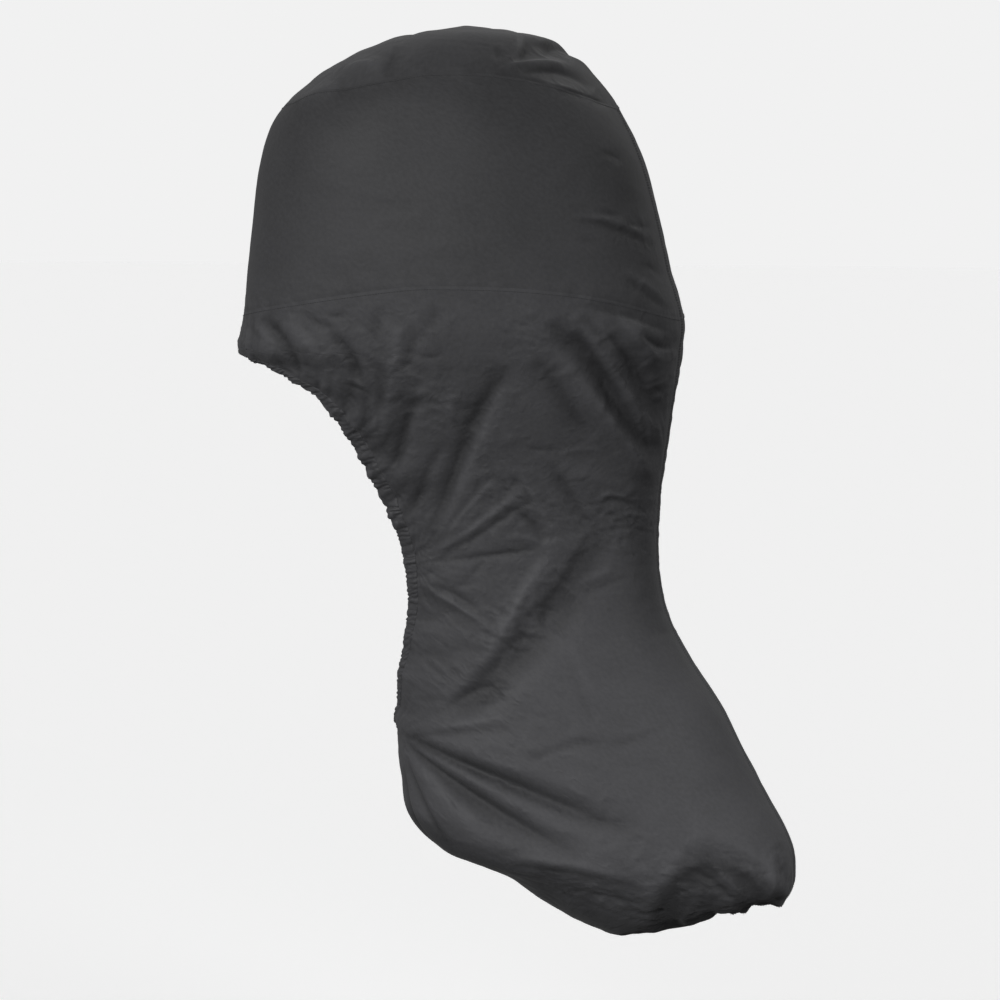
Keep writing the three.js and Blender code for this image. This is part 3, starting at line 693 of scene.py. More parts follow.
def cover_relief(section, share, points):
    """Height of the cloth over the smooth surface in millimetres: folds, creases, crumples,
    gathers and seams."""
    x, y, z = np.moveaxis(points, -1, 0)
    side = np.where(share < 0, -1.0, 1.0)
    run, down = cloth_place(section, share)
    half_width = np.maximum(section_values(section)[..., 4], 1)
    fade = smoothstep(np.abs(y) / half_width, 0, FOLD_FADE)
    names = ("x0", "z0", "x1", "z1")
    folds = crease_heights(FOLDS, x, z, names, side_values(FOLDS, side))
    folds += crease_heights(CREASES, x, z, names, side_values(CREASES, side))
    from_crown = seam_distance(CROWN_SEAM, section, share)
    from_hood = seam_distance(HOOD_SEAM, section, share)
    on_body = smoothstep(from_hood, 4, 45)
    near_pole = smoothstep(LAST - section, 0.05, 1.2)
    seams_free = smoothstep(np.abs(y), 2, 34)
    crumpled = patch_heights(x, z, run, down, side) + burst_heights(x, z, side)
    folds -= TUCK_DEPTH * toe_tuck(x, z) * near_pole
    total = folds * fade + crumpled * on_body * near_pole * seams_free
    total += crown_heights(x, y) * smoothstep(-from_crown, -30, 8)
    total += 1.3 * noise(run / 150, down / 130, 61 + side) * smoothstep(np.abs(y), 5, 80)
    total += 0.5 * crumple(run / 90, down / 60, 71 + side) * smoothstep(np.abs(y), 5, 60)
    total += foot_heights(section, points)
    for name, number in SIDES.items():
        mine = (side == number) & (section > 7.5) & (section < 22)
        if mine.any():
            total[mine] += hem_heights(section[mine], share[mine], points[mine], name)
    total += seam_relief(from_crown, run, 33) + seam_relief(from_hood, run, 35)
    return total + centre_seams(section, share, points)


def crown_heights(x, y):
    """Creases and soft swells of the crown, seen from above."""
    names = ("x0", "y0", "x1", "y1")
    swell = 1.6 * noise(x / 120, y / 120, 81) + 0.8 * crumple(x / 70, y / 110, 83)
    return swell + crease_heights(CROWN_CREASES, x, y, names, CROWN_CREASES["height"])


def cover_surface(section, share, lift=0.0):
    """Outer face of the dressed cloth in millimetres, with its relief, raised by lift."""
    section, share = np.broadcast_arrays(np.asarray(section, float), np.asarray(share, float))
    points = smooth_surface(section, share)
    height = cover_relief(section, share, points)
    normal = surface_normal(section, share)
    return points + normal * (OUTER_FACE + height + lift)[..., None], height, normal


def soften(grid, reach):
    """Mean of a grid over a window that reaches a number of rows and columns each way."""
    for axis in (0, 1):
        pad = [(reach + 1, reach) if axis == other else (0, 0) for other in (0, 1)]
        total = np.pad(grid, pad, mode="edge").cumsum(axis)
        size = grid.shape[axis]
        high = np.take(total, np.arange(2 * reach + 1, 2 * reach + 1 + size), axis)
        grid = (high - np.take(total, np.arange(size), axis)) / (2 * reach + 1)
    return grid


def ridge_light_trough_shade(height):
    """How far each point of a grid stands out of the cloth round it, from about -1 in a trough to
    1 on a ridge: its height less the mean of two windows, each over its own range. It goes into the
    tone as painted highlight on ridges and painted shade in troughs."""
    return sum(
        np.clip((height - soften(height, reach)) / full, -1, 1) * share
        for reach, full, share in RIDGE_WINDOWS
    )


def crinkle_share(height):
    """How crinkled the cloth is round each point of a grid, from 0 to 1: the mean size of its
    height less that of its neighbours, so that fine crinkles gather where the cloth is folded."""
    return np.clip(soften(np.abs(height - soften(height, 4)), 7) / 1.1, 0, 1)


def linked(name, data):
    """New object in the scene that holds the given data."""
    thing = bpy.data.objects.new(name, data)
    bpy.context.scene.collection.objects.link(thing)
    return thing


def mesh_object(name, points, faces, uv=None, relief=None, crinkled=None):
    """Object from points in millimetres, its faces, and for each point its cloth place, its tone of
    painted light and shade, and how crinkled it is."""
    mesh = bpy.data.meshes.new(name)
    mesh.from_pydata(points.reshape(-1, 3) * MM, [], faces)
    mesh.validate()
    mesh.polygons.foreach_set("use_smooth", np.ones(len(mesh.polygons), bool))
    corner = np.zeros(len(mesh.loops), np.int32)
    mesh.loops.foreach_get("vertex_index", corner)
    if uv is not None:
        layer = mesh.uv_layers.new(name="ClothPlace")
        layer.uv.foreach_set("vector", (uv.reshape(-1, 2)[corner] * MM).ravel())
    for title, values in (("relief", relief), ("crinkled", crinkled)):
        if values is not None:
            field = mesh.attributes.new(title, "FLOAT", "POINT")
            field.data.foreach_set("value", values.ravel().astype(np.float32))
    mesh.update()
    return linked(name, mesh)


def grid_faces(rows, columns, closed=False):
    """Faces of a grid of points, wound so that down times round points outwards."""
    row, column = np.meshgrid(np.arange(rows - 1), np.arange(columns - (not closed)), indexing="ij")
    beside = (column + 1) % columns
    corners = (row * columns + column, (row + 1) * columns + column,
               (row + 1) * columns + beside, row * columns + beside)
    return np.stack(corners, -1).reshape(-1, 4)


def fan_faces(pole, ring, outward_down):
    """Triangles from one pole point to a ring of points."""
    first, second = (ring[:-1], ring[1:]) if outward_down else (ring[1:], ring[:-1])
    return np.stack([np.full(len(first), pole), first, second], -1)


def thicken(piece, thickness):
    """Gives the cloth its thickness inwards with a live Solidify modifier, and keeps the shading
    of its border edges sharp."""
    shell = piece.modifiers.new("ClothThickness", "SOLIDIFY")
    shell.thickness = thickness
    shell.offset = -1
    shell.use_rim = True
    mesh = piece.data
    beside = np.zeros(len(mesh.loops), np.int32)
    mesh.loops.foreach_get("edge_index", beside)
    border = np.bincount(beside, minlength=len(mesh.edges)) == 1
    mesh.attributes.new("sharp_edge", "BOOLEAN", "EDGE").data.foreach_set("value", border)


def eased(count, places):
    """Shares from 0 to 1, spread as the table of places says."""
    return np.interp(np.linspace(0, 1, count), *places)


def keep_sides_apart(points, share, side, section):
    """Keeps the points of one side on it, and those of its centre edges beside the centre plane."""
    closed = (section < OPENING_TOP) | (section > OPENING_PINCH)
    on_seam = (share == 0) | ((np.abs(share) > 1 - 1e-9) & closed)
    across = side * np.maximum(side * points[..., 1], SIDE_GAP)
    points[..., 1] = np.where(on_seam, side * SIDE_GAP, across)
    return points


def build_crown(sizes):
    """Crown panel: rings from the top point out to the crown seam."""
    rows, columns = CROWN_GRID
    share = np.linspace(-1, 1, columns, endpoint=False)[None, :]
    down = np.linspace(0, 1, rows + 1)[1:, None]
    section = down * seam_section(CROWN_SEAM, share)
    share = np.broadcast_to(share, section.shape)
    points, height, _ = cover_surface(section, share)
    top = points[0].mean(0)
    points = np.vstack([points.reshape(-1, 3), top])
    ring = np.append(np.arange(columns), 0)
    faces = grid_faces(rows, columns, closed=True).tolist()
    faces += fan_faces(rows * columns, ring, True).tolist()
    relief, crinkled = (np.append(tone(height), 0) for tone in (ridge_light_trough_shade, crinkle_share))
    # Painted light and shade on the crown: paler towards the front, darker towards the back
    relief -= CROWN_FRONT_LIGHT * points[:, 0] / 200
    piece = mesh_object("crown_cloth", points, faces, points[:, :2], relief, crinkled)
    thicken(piece, sizes.thickness)
    return piece


def build_hood(name, sizes):
    """Hood panel of one side: from the crown seam down to the hood seam."""
    side = SIDES[name]
    rows, columns = HOOD_GRID
    share = eased(columns, EDGE_COLUMNS)
    share = (share if side > 0 else -share[::-1])[None, :]
    down = np.linspace(0, 1, rows)[:, None]
    top, bottom = seam_section(CROWN_SEAM, share), seam_section(HOOD_SEAM, share)
    section = top + (bottom - top) * down
    share = np.broadcast_to(share, section.shape)
    points, height, _ = cover_surface(section, share)
    points = keep_sides_apart(points, share, side, section)
    uv = np.stack(cloth_place(section, share), -1)
    faces = grid_faces(rows, columns).tolist()
    relief, crinkled = ridge_light_trough_shade(height), crinkle_share(height)
    piece = mesh_object(f"hood_cloth_{name}", points, faces, uv, relief, crinkled)
    thicken(piece, sizes.thickness)
    return piece


def build_body(name, sizes):
    """Body panel of one side: from the hood seam down to the point where the foot closes. Beside
    the opening, a column's angle is its part of half a turn less the cube of that part times what
    the hem lacks of half a turn, so that only the columns near the hem follow it."""
    side = SIDES[name]
    rows, columns = BODY_GRID
    part = eased(columns, BACK_COLUMNS)
    part = (part if side > 0 else -part[::-1])[None, :]
    down = eased(rows + 1, BODY_ROW_PLACES)[:-1, None]
    top = seam_section(HOOD_SEAM, part)
    section = top + (LAST - top) * down
    wrap = wrap_angle(section)
    share = (part * np.pi - part**3 * (np.pi - wrap)) / wrap
    points, height, normal = cover_surface(section, share)
    points = keep_sides_apart(points, share, side, section)
    # Painted shade: darker where the cloth faces down and where it is tucked in under the toe, more
    # so low down; the foot point takes it in full
    facing_down = -normal[..., 2] + 0.07 * noise(points[..., 0] / 60, points[..., 2] / 30, 91)
    facing_down += 0.55 * toe_tuck(points[..., 0], points[..., 2])
    deep = smoothstep(-points[..., 2], *UNDERSIDE_DEPTHS)
    under = UNDERSIDE_LEAST + (1 - UNDERSIDE_LEAST) * deep
    tone = ridge_light_trough_shade(height) - UNDERSIDE_SHADE * under * smoothstep(facing_down, *UNDERSIDE_FACING)
    foot = SECTIONS[-1, [0, 0, 1]] * (1, 0, 1) + np.array([0, side * SIDE_GAP, -OUTER_FACE])
    uv = np.stack(cloth_place(section, share), -1).reshape(-1, 2)
    uv = np.vstack([uv, [0, LENGTH_DOWN[-1]]])
    ring = np.arange((rows - 1) * columns, rows * columns)
    faces = grid_faces(rows, columns).tolist()
    faces += fan_faces(rows * columns, ring, False).tolist()
    points = np.vstack([points.reshape(-1, 3), foot])
    relief, crinkled = np.append(tone, -UNDERSIDE_SHADE), np.append(crinkle_share(height), 0)
    piece = mesh_object(f"body_cloth_{name}", points, faces, uv, relief, crinkled)
    thicken(piece, sizes.thickness)
    return piece


def casing_frame(name, count):
    """Along the hem: sections, length run, casing width, and the share of the half section that
    one millimetre takes."""
    side = SIDES[name]
    section, edge, run = hem_line(side, count)
    inner = smooth_surface(section, side * 0.97)
    share_of_mm = 0.03 / np.linalg.norm(edge - inner, axis=1)
    width = np.interp(run / run[-1], CASING_WIDTH["along"], CASING_WIDTH["width"])
    return section, run, width, share_of_mm


def build_casing(name):
    """Gathered casing of one hem: a flat tube along the edge of the opening. Round the tube, the
    distance in from the edge is half the width times 1 minus a cosine, and the height a sine to
    the power 0.7, raised on the humps of the gathers."""
    side = SIDES[name]
    count, around = CASING_GRID
    section, run, width, share_of_mm = casing_frame(name, count)
    turn = np.linspace(0, 2 * np.pi, around, endpoint=False)[None, :]
    section, run, width, share_of_mm = (
        values[:, None] for values in (section, run, width, share_of_mm)
    )
    inward = 0.5 * (1 - np.cos(turn))
    seed = 20 + 9 * side
    slanted = run + 0.3 * inward * width + 5 * noise(run / 33, inward * 1.4, seed)
    hump = gather_wave(slanted, CASING_GATHER, seed)
    hump = 0.5 + (hump - 0.5) * np.clip(0.9 + 1.1 * noise(run / 27, inward * 1.1, seed + 4), 0, 2)
    ends = smoothstep(run, 0, 14) * smoothstep(run[-1] - run, 0, 14)
    lift = np.sign(np.sin(turn)) * np.abs(np.sin(turn)) ** 0.7
    lift = lift * CASING_LIFT * (0.35 + 0.85 * hump) * (0.4 + 0.6 * ends)
    edge = (1 - inward) ** 3 * 2.6 * (hump - 0.5)
    away = inward * width - 2.0 - edge
    share = side * (1 - away * share_of_mm)
    section = np.broadcast_to(section, share.shape)
    points = smooth_surface(section, share)
    base = cover_relief(section, np.clip(share, -1, 1), points)
    base = base * np.clip(0.5 + 0.5 * inward, 0, 1)
    normal = surface_normal(section, share)
    points = points + normal * (OUTER_FACE - 0.6 + base + lift)[..., None]
    points[..., 1] = side * np.maximum(side * points[..., 1], 0.1)
    uv = np.stack(np.broadcast_arrays(run, 2 * width * turn / (2 * np.pi)), -1)
    faces = grid_faces(count, around, closed=True)
    if side > 0:
        faces = faces[:, ::-1]
    faces = faces.tolist()
    ring = list(range(around))
    last = [(count - 1) * around + place for place in ring]
    faces += [ring, last[::-1]] if side < 0 else [ring[::-1], last]
    # Painted light and shade on the casing: paler on the humps of the gathers and on its outer
    # half, darker in their valleys, on its inner half and over all of it
    relief = (hump - 0.62) * 1.2 + 0.25 * np.sign(lift) + CASING_SHADE
    crinkled = np.ones(points[..., 0].size)
    return mesh_object(f"hem_casing_{name}", points, faces, uv, relief, crinkled)


STITCH_LIFT = 0.1


def stitch_row(name, section, share, pitch, width, lift):
    """Row of stitches along a line on the cloth: each is a thread bowed up between two holes,
    six-sided, thin at its ends and thick in its middle."""
    fine = np.linspace(0, 1, 6000)
    steps = np.linspace(0, 1, len(section))
    section, share = np.interp(fine, steps, section), np.interp(fine, steps, share)
    path, _, normal = cover_surface(section, share)
    run = np.concatenate([[0], np.cumsum(np.linalg.norm(np.diff(path, axis=0), axis=1))])
    count = int(run[-1] / pitch)
    middle = (np.arange(count) + 0.5) * pitch
    rings = np.array([-0.5, -0.32, 0, 0.32, 0.5])
    thick = np.array([0.35, 0.85, 1.0, 0.85, 0.35])
    bow = np.array([-0.5, 0.35, 0.7, 0.35, -0.5])
    at = middle[:, None] + rings * pitch * 0.78
    centre = np.stack([np.interp(at, run, path[:, axis]) for axis in range(3)], -1)
    up = np.stack([np.interp(at, run, normal[:, axis]) for axis in range(3)], -1)
    up = unit(up)
    along = unit(centre[:, -1] - centre[:, 0])[:, None, :]
    aside = unit(np.cross(np.broadcast_to(along, up.shape), up))
    radius = width / 2 * thick
    centre = centre + up * (lift + width * bow)[None, :, None]
    turn = np.arange(6) * np.pi / 3
    ring = np.cos(turn)[:, None] * aside[..., None, :] + np.sin(turn)[:, None] * up[..., None, :]
    points = centre[..., None, :] + ring * radius[None, :, None, None]
    one = grid_faces(len(rings), 6, closed=True)[:, ::-1]
    start = np.arange(count)[:, None, None] * len(rings) * 6
    faces = (one[None] + start).reshape(-1, 4).tolist()
    caps = np.array([range(6), [24 + place for place in range(5, -1, -1)]])
    faces += (caps[None] + start).reshape(-1, 6).tolist()
    return mesh_object(name, points, faces)


def shift_section(section, share, distance):
    """Section that lies a distance in millimetres below a section."""
    step = smooth_surface(section + 0.05, share) - smooth_surface(section - 0.05, share)
    return section + distance * 0.1 / np.linalg.norm(step, axis=-1)


def shift_share(section, share, side, distance):
    """Share that lies a distance in millimetres from the centre plane, towards one side."""
    step = smooth_surface(section, share + 0.01) - smooth_surface(section, share - 0.01)
    return share + side * distance * 0.02 / np.linalg.norm(step, axis=-1)


def build_stitching(sizes):
    """All rows of stitches, beside the crown seam, the hood seam and the centre seams."""
    share = np.linspace(-0.995, 0.995, 900)
    lines = []
    for title, seam, below in (("crown", CROWN_SEAM, 5.5), ("hood", HOOD_SEAM, 6)):
        section = shift_section(seam_section(seam, share), share, below)
        lines.append((f"stitches_{title}_seam", section, share))
    for name, side in SIDES.items():
        section = np.linspace(seam_section(CROWN_SEAM, np.array(0.0)) + 0.1, LAST - 0.6, 900)
        back = shift_share(section, np.zeros(900), side, 6)
        lines.append((f"stitches_back_{name}", section, back))
        section = np.linspace(OPENING_PINCH + 0.25, LAST - 0.6, 500)
        front = shift_share(section, np.full(500, float(side)), -side, 6)
        lines.append((f"stitches_front_{name}", section, front))
    pitch, width = sizes.stitch_pitch / MM, sizes.stitch_width / MM
    return [stitch_row(*line, pitch, width, STITCH_LIFT) for line in lines]


def new_material(name):
    """Node material with one Principled shader: the material, its nodes, its links, the shader."""
    material = bpy.data.materials.new(name)
    material.use_nodes = True
    tree = material.node_tree
    shader = next(node for node in tree.nodes if node.type == "BSDF_PRINCIPLED")
    return material, tree.nodes, tree.links, shader


def noise_node(nodes, links, vector, scale, detail, kind="FBM", distortion=0.0):
    """Noise texture on the given coordinates, with its scale in swells for each metre."""
    node = nodes.new("ShaderNodeTexNoise")
    node.noise_type = kind
    node.normalize = True
    node.inputs["Scale"].default_value = scale
    node.inputs["Detail"].default_value = detail
    node.inputs["Distortion"].default_value = distortion
    links.new(vector, node.inputs["Vector"])
    return node.outputs["Fac"]


def math_node(nodes, links, operation, first, second, clamp=False):
    """Math node of two inputs, each a socket or a number."""
    node = nodes.new("ShaderNodeMath")
    node.operation = operation
    node.use_clamp = clamp
    for place, value in enumerate((first, second)):
        if isinstance(value, (int, float)):
            node.inputs[place].default_value = value
        else:
            links.new(value, node.inputs[place])
    return node.outputs[0]


def map_node(nodes, links, value, low, high, to_low, to_high):
    """Map Range node from one range to another."""
    node = nodes.new("ShaderNodeMapRange")
    links.new(value, node.inputs["Value"])
    ends = (low, high, to_low, to_high)
    for name, number in zip(("From Min", "From Max", "To Min", "To Max"), ends):
        node.inputs[name].default_value = number
    return node.outputs["Result"]


def field_node(nodes, title):
    """Value that each point of the mesh carries under a title."""
    node = nodes.new("ShaderNodeAttribute")
    node.attribute_name = title
    return node.outputs["Fac"]


def bump_node(nodes, links, height, distance, strength, normal=None):
    """Bump node over an earlier normal, with its distance in metres."""
    node = nodes.new("ShaderNodeBump")
    node.inputs["Distance"].default_value = distance
    node.inputs["Strength"].default_value = strength
    links.new(height, node.inputs["Height"])
    if normal is not None:
        links.new(normal, node.inputs["Normal"])
    return node.outputs["Normal"]


def tint_node(nodes, links, factor, color, low, high):
    """Colour between two multiples of one colour, as a factor goes from 0 to 1."""
    mix = nodes.new("ShaderNodeMix")
    mix.data_type = "RGBA"
    links.new(factor, mix.inputs["Factor"])
    for socket in mix.inputs:
        if socket.type == "RGBA":
            share = low if socket.name == "A" else high
            socket.default_value = (*(share * part for part in color), 1)
    return next(socket for socket in mix.outputs if socket.type == "RGBA")


def thread_wave(nodes, links, vector, direction, pitch):
    """Bands of one set of threads along the cloth, at the given pitch in metres."""
    node = nodes.new("ShaderNodeTexWave")
    node.wave_type = "BANDS"
    node.bands_direction = direction
    node.inputs["Scale"].default_value = 2 * math.pi / 20 / pitch
    node.inputs["Distortion"].default_value = 0.6
    node.inputs["Detail"].default_value = 1.0
    node.inputs["Detail Scale"].default_value = 0.15
    links.new(vector, node.inputs["Vector"])
    return node.outputs["Fac"]


# Parts of the cloth's tone: the field that gives each, its range, and the tone at its two ends.
# Heights are in metres below the top. The relief field carries painted light and shade, and the
# height parts are painted light and shade too: the top of the crown paler than just below it, the
# hood darker high up and paler low down, and the bag a little paler towards the foot.
TONE_PARTS = (
    ("drift", 0.3, 0.7, -0.10, 0.10),
    ("grain", 0.3, 0.7, -0.09, 0.09),
    ("relief", -1.6, 1.0, -0.60, 0.28),
    ("height", -0.06, -0.13, 0.05, -0.06),
    ("height", -0.10, -0.46, -0.18, 0.12),
    ("height", -0.5, -1.4, 0.0, 0.03),
)

# Layers of crinkles: swells for each metre, detail and bend, the range of crinkling and the share
# at its two ends, and the distance and strength of the bump
CRINKLE_LAYERS = (
    (26.0, 3.0, 0.3, (0.04, 0.4, 0.0, 1.0), 0.005, 0.8),
    (60.0, 4.0, 0.4, (0.0, 0.5, 0.3, 1.5), 0.0012, 0.65),
)


def cloth_material(name, color, finish):
    """Coated woven cloth: a tone that drifts over the cloth, with painted highlight on ridges,
    painted shade in troughs and beneath, and painted light and shade by height; fine threads, fine
    crinkles and a soft sheen."""
    material, nodes, links, shader = new_material(name)
    place = nodes.new("ShaderNodeTexCoord")
    cloth, solid = place.outputs["UV"], place.outputs["Object"]
    relief, crinkled = (field_node(nodes, title) for title in ("relief", "crinkled"))
    drift = noise_node(nodes, links, solid, 6.0, 4.0)
    grain = noise_node(nodes, links, cloth, 130.0, 4.0)
    axes = nodes.new("ShaderNodeSeparateXYZ")
    links.new(solid, axes.inputs["Vector"])
    fields = {"drift": drift, "grain": grain, "relief": relief, "height": axes.outputs["Z"]}
    tone = 0.5
    for field, *ends in TONE_PARTS:
        tone = math_node(nodes, links, "ADD", map_node(nodes, links, fields[field], *ends), tone)
    links.new(tint_node(nodes, links, tone, color, 0.5, 1.5), shader.inputs["Base Color"])
    least, most = finish.roughness - 0.05, finish.roughness + 0.05
    links.new(map_node(nodes, links, drift, 0.3, 0.7, least, most), shader.inputs["Roughness"])
    threads = math_node(
        nodes, links, "MULTIPLY",
        thread_wave(nodes, links, cloth, "X", finish.thread_pitch),
        thread_wave(nodes, links, cloth, "Y", finish.thread_pitch),
    )
    normal = None
    for swells, detail, bend, ends, distance, strength in CRINKLE_LAYERS:
        layer = noise_node(nodes, links, cloth, swells, detail, "RIDGED_MULTIFRACTAL", bend)
        share = map_node(nodes, links, crinkled, *ends)
        layer = math_node(nodes, links, "MULTIPLY", layer, share)
        normal = bump_node(nodes, links, layer, distance, strength, normal)
    normal = bump_node(nodes, links, threads, 0.00012, 0.45, normal)
    links.new(normal, shader.inputs["Normal"])
    shader.inputs["Specular IOR Level"].default_value = 0.22
    shader.inputs["Sheen Weight"].default_value = 0.06
    shader.inputs["Sheen Roughness"].default_value = 0.5
    return material


def thread_material(color):
    """Twisted sewing thread: strands across each stitch and a slight gloss."""
    material, nodes, links, shader = new_material("sewing_thread")
    place = nodes.new("ShaderNodeTexCoord")
    strands = noise_node(nodes, links, place.outputs["Object"], 2200.0, 2.0)
    links.new(tint_node(nodes, links, strands, color, 0.8, 1.25), shader.inputs["Base Color"])
    links.new(bump_node(nodes, links, strands, 0.0001, 0.4), shader.inputs["Normal"])
    shader.inputs["Roughness"].default_value = 0.55
    shader.inputs["Specular IOR Level"].default_value = 0.3
    return material


def material_named(name, make):
    """The material of that name, made the first time that it is asked for."""
    return bpy.data.materials.get(name) or make()


def finish_cloth(piece, slot, node=None):
    """Puts a cloth piece on the frame with the material named after the slot, in the hood or body
    colour, and hides the frame part, if one is named.
    """
    finish = bpy.context.scene.cover_finish
    color = finish.hood_color if slot == "hood_cloth" else finish.body_color
    name = f"{slot}_woven"
    material = material_named(name, lambda: cloth_material(name, color, finish))
    piece.data.materials.append(material)
    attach(piece, "root")
    if node:
        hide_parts(node)


def length(name, description, default):
    """Setting in metres."""
    return FloatProperty(name=name, description=description, default=default, unit="LENGTH")


def amount(name, description, default):
    """Plain number as a setting."""
    return FloatProperty(name=name, description=description, default=default)


def turn(name, description, degrees):
    """Setting of an angle, given in degrees."""
    return FloatProperty(
        name=name, description=description, default=math.radians(degrees), subtype="ANGLE"
    )


def colour(name, description, default):
    """Setting of a linear colour."""
    return FloatVectorProperty(
        name=name, description=description, default=default, size=3, subtype="COLOR"
    )


class CoverSizes(bpy.types.PropertyGroup):
    """Sizes of the cloth and its sewing."""

    thickness: length("Cloth thickness", "Thickness of the coated cloth", 0.0012)
    stitch_pitch: length("Stitch pitch", "Length from one stitch to the next", 0.005)
    stitch_width: length("Thread width", "Width of the sewing thread", 0.0009)


class CoverFinish(bpy.types.PropertyGroup):
    """Colours and surface of the cloth and thread."""

    hood_color: colour(
        "Hood colour", "Colour of the crown and the hood panels", (0.043, 0.043, 0.0455)
    )
    body_color: colour(
        "Body colour", "Colour of the body panels and their hem", (0.0465, 0.0465, 0.0495)
    )
    thread_color: colour("Thread colour", "Colour of the sewing thread", (0.040, 0.040, 0.042))
    roughness: FloatProperty(
        name="Roughness", description="Mean roughness of the coated cloth", default=0.62,
        min=0, max=1, subtype="FACTOR",
    )
    thread_pitch: length("Weave pitch", "Pitch of the woven threads", 0.0011)


class StudioSettings(bpy.types.PropertyGroup):
    """Camera, lights and floor."""

    azimuth: turn("Azimuth", "Turn of the camera from straight on to the port side", 12)
    elevation: turn("Elevation", "Height of the camera above the horizon", 6)
    distance: length("Distance", "Distance from the camera to its aim", 6.0)
    view_width: length("View width", "Width that the camera takes in at its aim", 1.85)
    aim: FloatVectorProperty(
        name="Aim", description="Point at the middle of the view",
        default=(0.0665, -0.0048, -0.8676), size=3, subtype="XYZ",
    )
    floor_drop: length("Floor drop", "Distance from the foot down to the floor", 0.75)
    backdrop: amount("Backdrop brightness", "Brightness of the plain backdrop", 0.88)
    sky_high: amount("Light from above", "Brightness of the surroundings overhead", 0.38)
    sky_low: amount("Light from below", "Brightness of the surroundings below", 0.03)
    key_strength: amount("Key light", "Strength of the main light", 2.25)
    side_strength: amount("Side light", "Strength of the soft light from the right", 0.6)
    fill_strength: amount("Fill light", "Strength of the light from behind", 0.4)
    low_strength: amount("Low light", "Power of the soft light on the bag", 53.0)


def make_camera(studio):
    """Camera on a sphere round its aim, with the lens that takes in the view width."""
    azimuth, elevation = studio.azimuth, studio.elevation
    back = np.array([
        math.sin(azimuth) * math.cos(elevation),
        -math.cos(azimuth) * math.cos(elevation),
        math.sin(elevation),
    ])
    data = bpy.data.cameras.new("photo_camera")
    data.sensor_width = 36
    data.lens = data.sensor_width * studio.distance / studio.view_width
    data.clip_end = 200
    camera = linked("photo_camera", data)
    camera.location = np.array(studio.aim) + back * studio.distance
    camera.rotation_euler = (math.pi / 2 - elevation, 0, azimuth)
    bpy.context.scene.camera = camera


# Distant lights: azimuth, elevation and spread in degrees
SUNS = (("key", -28, 16, 12), ("side", 62, 6, 60), ("fill", 150, 40, 40))


def make_sun(name, azimuth, elevation, strength, angle):
    """Soft distant light from an azimuth and elevation in degrees."""
    data = bpy.data.lights.new(name, "SUN")
    data.energy = strength
    data.angle = math.radians(angle)
    light = linked(name, data)
    light.rotation_euler = (math.radians(90 - elevation), 0, math.radians(azimuth))


def make_low_light(power):
    """Soft spotlight from beside the waist down on to the bag."""
    place, aim = np.array([1.7, -1.5, -0.45]), np.array([0.56, -0.08, -1.36])
    data = bpy.data.lights.new("low_light", "SPOT")
    data.spot_size = math.radians(32)
    data.spot_blend = 1.0
    data.shadow_soft_size = 0.25
    data.energy = power
    light = linked("low_light", data)
    light.visible_camera = False
    light.location = place
    turn = Vector(aim - place).to_track_quat("-Z", "Y")
    light.rotation_euler = turn.to_euler()


def make_floor(studio, height, light_up):
    """Wide plain floor, of the tone that makes it as bright as the backdrop."""
    half = 60.0
    corners = np.array([[-half, -half, height], [half, -half, height],
                        [half, half, height], [-half, half, height]]) / MM
    floor = mesh_object("floor", corners, [[0, 1, 2, 3]])
    floor.visible_diffuse = False
    floor.visible_glossy = False
    material, _, _, shader = new_material("pale_floor")
    tone = studio.backdrop / (studio.sky_high + light_up)
    shader.inputs["Base Color"].default_value = (tone, tone, tone, 1)
    shader.inputs["Roughness"].default_value = 1.0
    shader.inputs["Specular IOR Level"].default_value = 0.0
    floor.data.materials.append(material)


def make_world(studio):
    """Plain pale backdrop, which lights the cloth less than it shows: dim from below and from the
    sides, brighter from above."""
    world = bpy.data.worlds.new("pale_studio")
    world.use_nodes = True
    nodes, links = world.node_tree.nodes, world.node_tree.links
    background = next(node for node in nodes if node.type == "BACKGROUND")
    place = nodes.new("ShaderNodeTexCoord")
    axes = nodes.new("ShaderNodeSeparateXYZ")
    links.new(place.outputs["Generated"], axes.inputs["Vector"])
    light = map_node(nodes, links, axes.outputs["Z"], -0.6, 0.6, studio.sky_low, studio.sky_high)
    rays = nodes.new("ShaderNodeLightPath")
    mix = nodes.new("ShaderNodeMix")
    mix.data_type = "FLOAT"
    links.new(rays.outputs["Is Camera Ray"], mix.inputs["Factor"])
    links.new(light, mix.inputs[2])
    mix.inputs[3].default_value = studio.backdrop
    links.new(mix.outputs[0], background.inputs["Strength"])
    background.inputs["Color"].default_value = (1, 1, 1, 1)
    bpy.context.scene.world = world


class COVER_OT_crown(bpy.types.Operator):
    """Builds the crown panel"""

    bl_idname = "cover.crown"
    bl_label = "Crown panel"

    def execute(self, context):
        piece = build_crown(context.scene.cover_sizes)
        finish_cloth(piece, "hood_cloth", "crown_panel")
        return {"FINISHED"}


class COVER_OT_hood(bpy.types.Operator):
    """Builds the two hood panels"""

    bl_idname = "cover.hood"
    bl_label = "Hood panels"

    def execute(self, context):
        for name in SIDES:
            piece = build_hood(name, context.scene.cover_sizes)
            finish_cloth(piece, "hood_cloth", f"hood_{name}")
        return {"FINISHED"}


class COVER_OT_body(bpy.types.Operator):
    """Builds the two body panels and the gathered casings of their hems"""

    bl_idname = "cover.body"
    bl_label = "Body panels and hems"

    def execute(self, context):
        for name in SIDES:
            sizes = context.scene.cover_sizes
            piece = build_body(name, sizes)
            finish_cloth(piece, "body_cloth", f"body_{name}")
            casing = build_casing(name)
            finish_cloth(casing, "body_cloth")
        return {"FINISHED"}


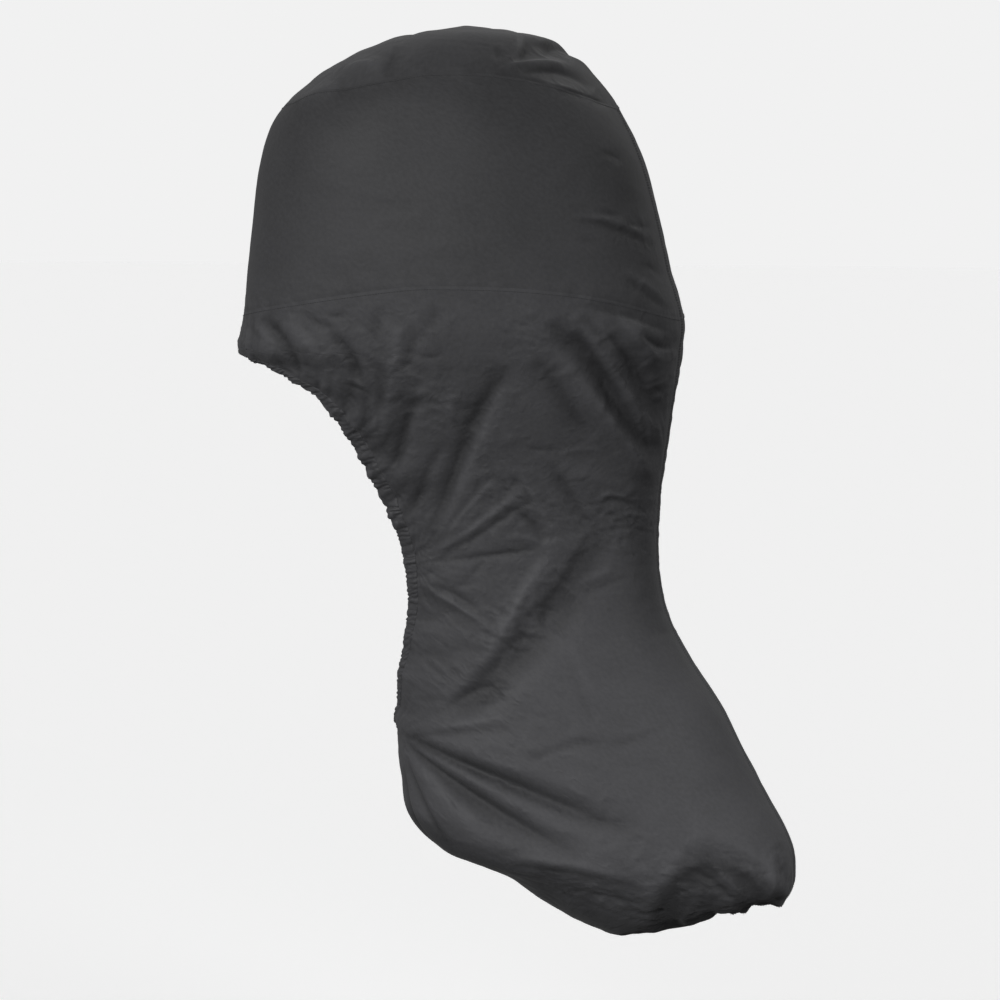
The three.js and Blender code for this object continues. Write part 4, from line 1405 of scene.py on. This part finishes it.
class COVER_OT_stitching(bpy.types.Operator):
    """Builds the rows of stitches beside the seams"""

    bl_idname = "cover.stitching"
    bl_label = "Stitching"

    def execute(self, context):
        color = context.scene.cover_finish.thread_color
        for piece in build_stitching(context.scene.cover_sizes):
            piece.data.materials.append(
                material_named("sewing_thread", lambda: thread_material(color))
            )
            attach(piece, "root")
        return {"FINISHED"}


class COVER_OT_studio(bpy.types.Operator):
    """Builds the floor, the backdrop, the lights and the camera"""

    bl_idname = "cover.studio"
    bl_label = "Studio"

    def execute(self, context):
        studio = context.scene.studio
        light_up = 0
        for name, azimuth, elevation, spread in SUNS:
            strength = getattr(studio, f"{name}_strength")
            make_sun(f"{name}_light", azimuth, elevation, strength, spread)
            light_up += strength / math.pi * math.sin(math.radians(elevation))
        make_low_light(studio.low_strength)
        make_floor(studio, CAD_BOX[0].z - studio.floor_drop, light_up)
        make_world(studio)
        make_camera(studio)
        context.scene.view_settings.view_transform = "Standard"
        return {"FINISHED"}


class COVER_PT_panel(bpy.types.Panel):
    """Panel that lists the cover's pieces and settings"""

    bl_idname = "COVER_PT_panel"
    bl_label = "Cloth cover"
    bl_space_type = "VIEW_3D"
    bl_region_type = "UI"
    bl_category = "Cover"

    def draw(self, context):
        for operator in (COVER_OT_crown, COVER_OT_hood, COVER_OT_body, COVER_OT_stitching,
                         COVER_OT_studio):
            self.layout.operator(operator.bl_idname)
        for group in ("cover_sizes", "cover_finish", "studio"):
            box = self.layout.box()
            settings = getattr(context.scene, group)
            for name in settings.bl_rna.properties.keys():
                if name not in ("rna_type", "name"):
                    box.prop(settings, name)


CLASSES = (
    CoverSizes, CoverFinish, StudioSettings, COVER_OT_crown, COVER_OT_hood, COVER_OT_body,
    COVER_OT_stitching, COVER_OT_studio, COVER_PT_panel,
)


def register():
    for item in CLASSES:
        bpy.utils.register_class(item)
    bpy.types.Scene.cover_sizes = PointerProperty(type=CoverSizes)
    bpy.types.Scene.cover_finish = PointerProperty(type=CoverFinish)
    bpy.types.Scene.studio = PointerProperty(type=StudioSettings)


def unregister():
    del bpy.types.Scene.studio
    del bpy.types.Scene.cover_finish
    del bpy.types.Scene.cover_sizes
    for item in reversed(CLASSES):
        bpy.utils.unregister_class(item)


def main():
    """Builds every piece in order."""
    register()
    bpy.ops.cover.crown()
    bpy.ops.cover.hood()
    bpy.ops.cover.body()
    bpy.ops.cover.stitching()
    bpy.ops.cover.studio()


if __name__ == "__main__":
    main()
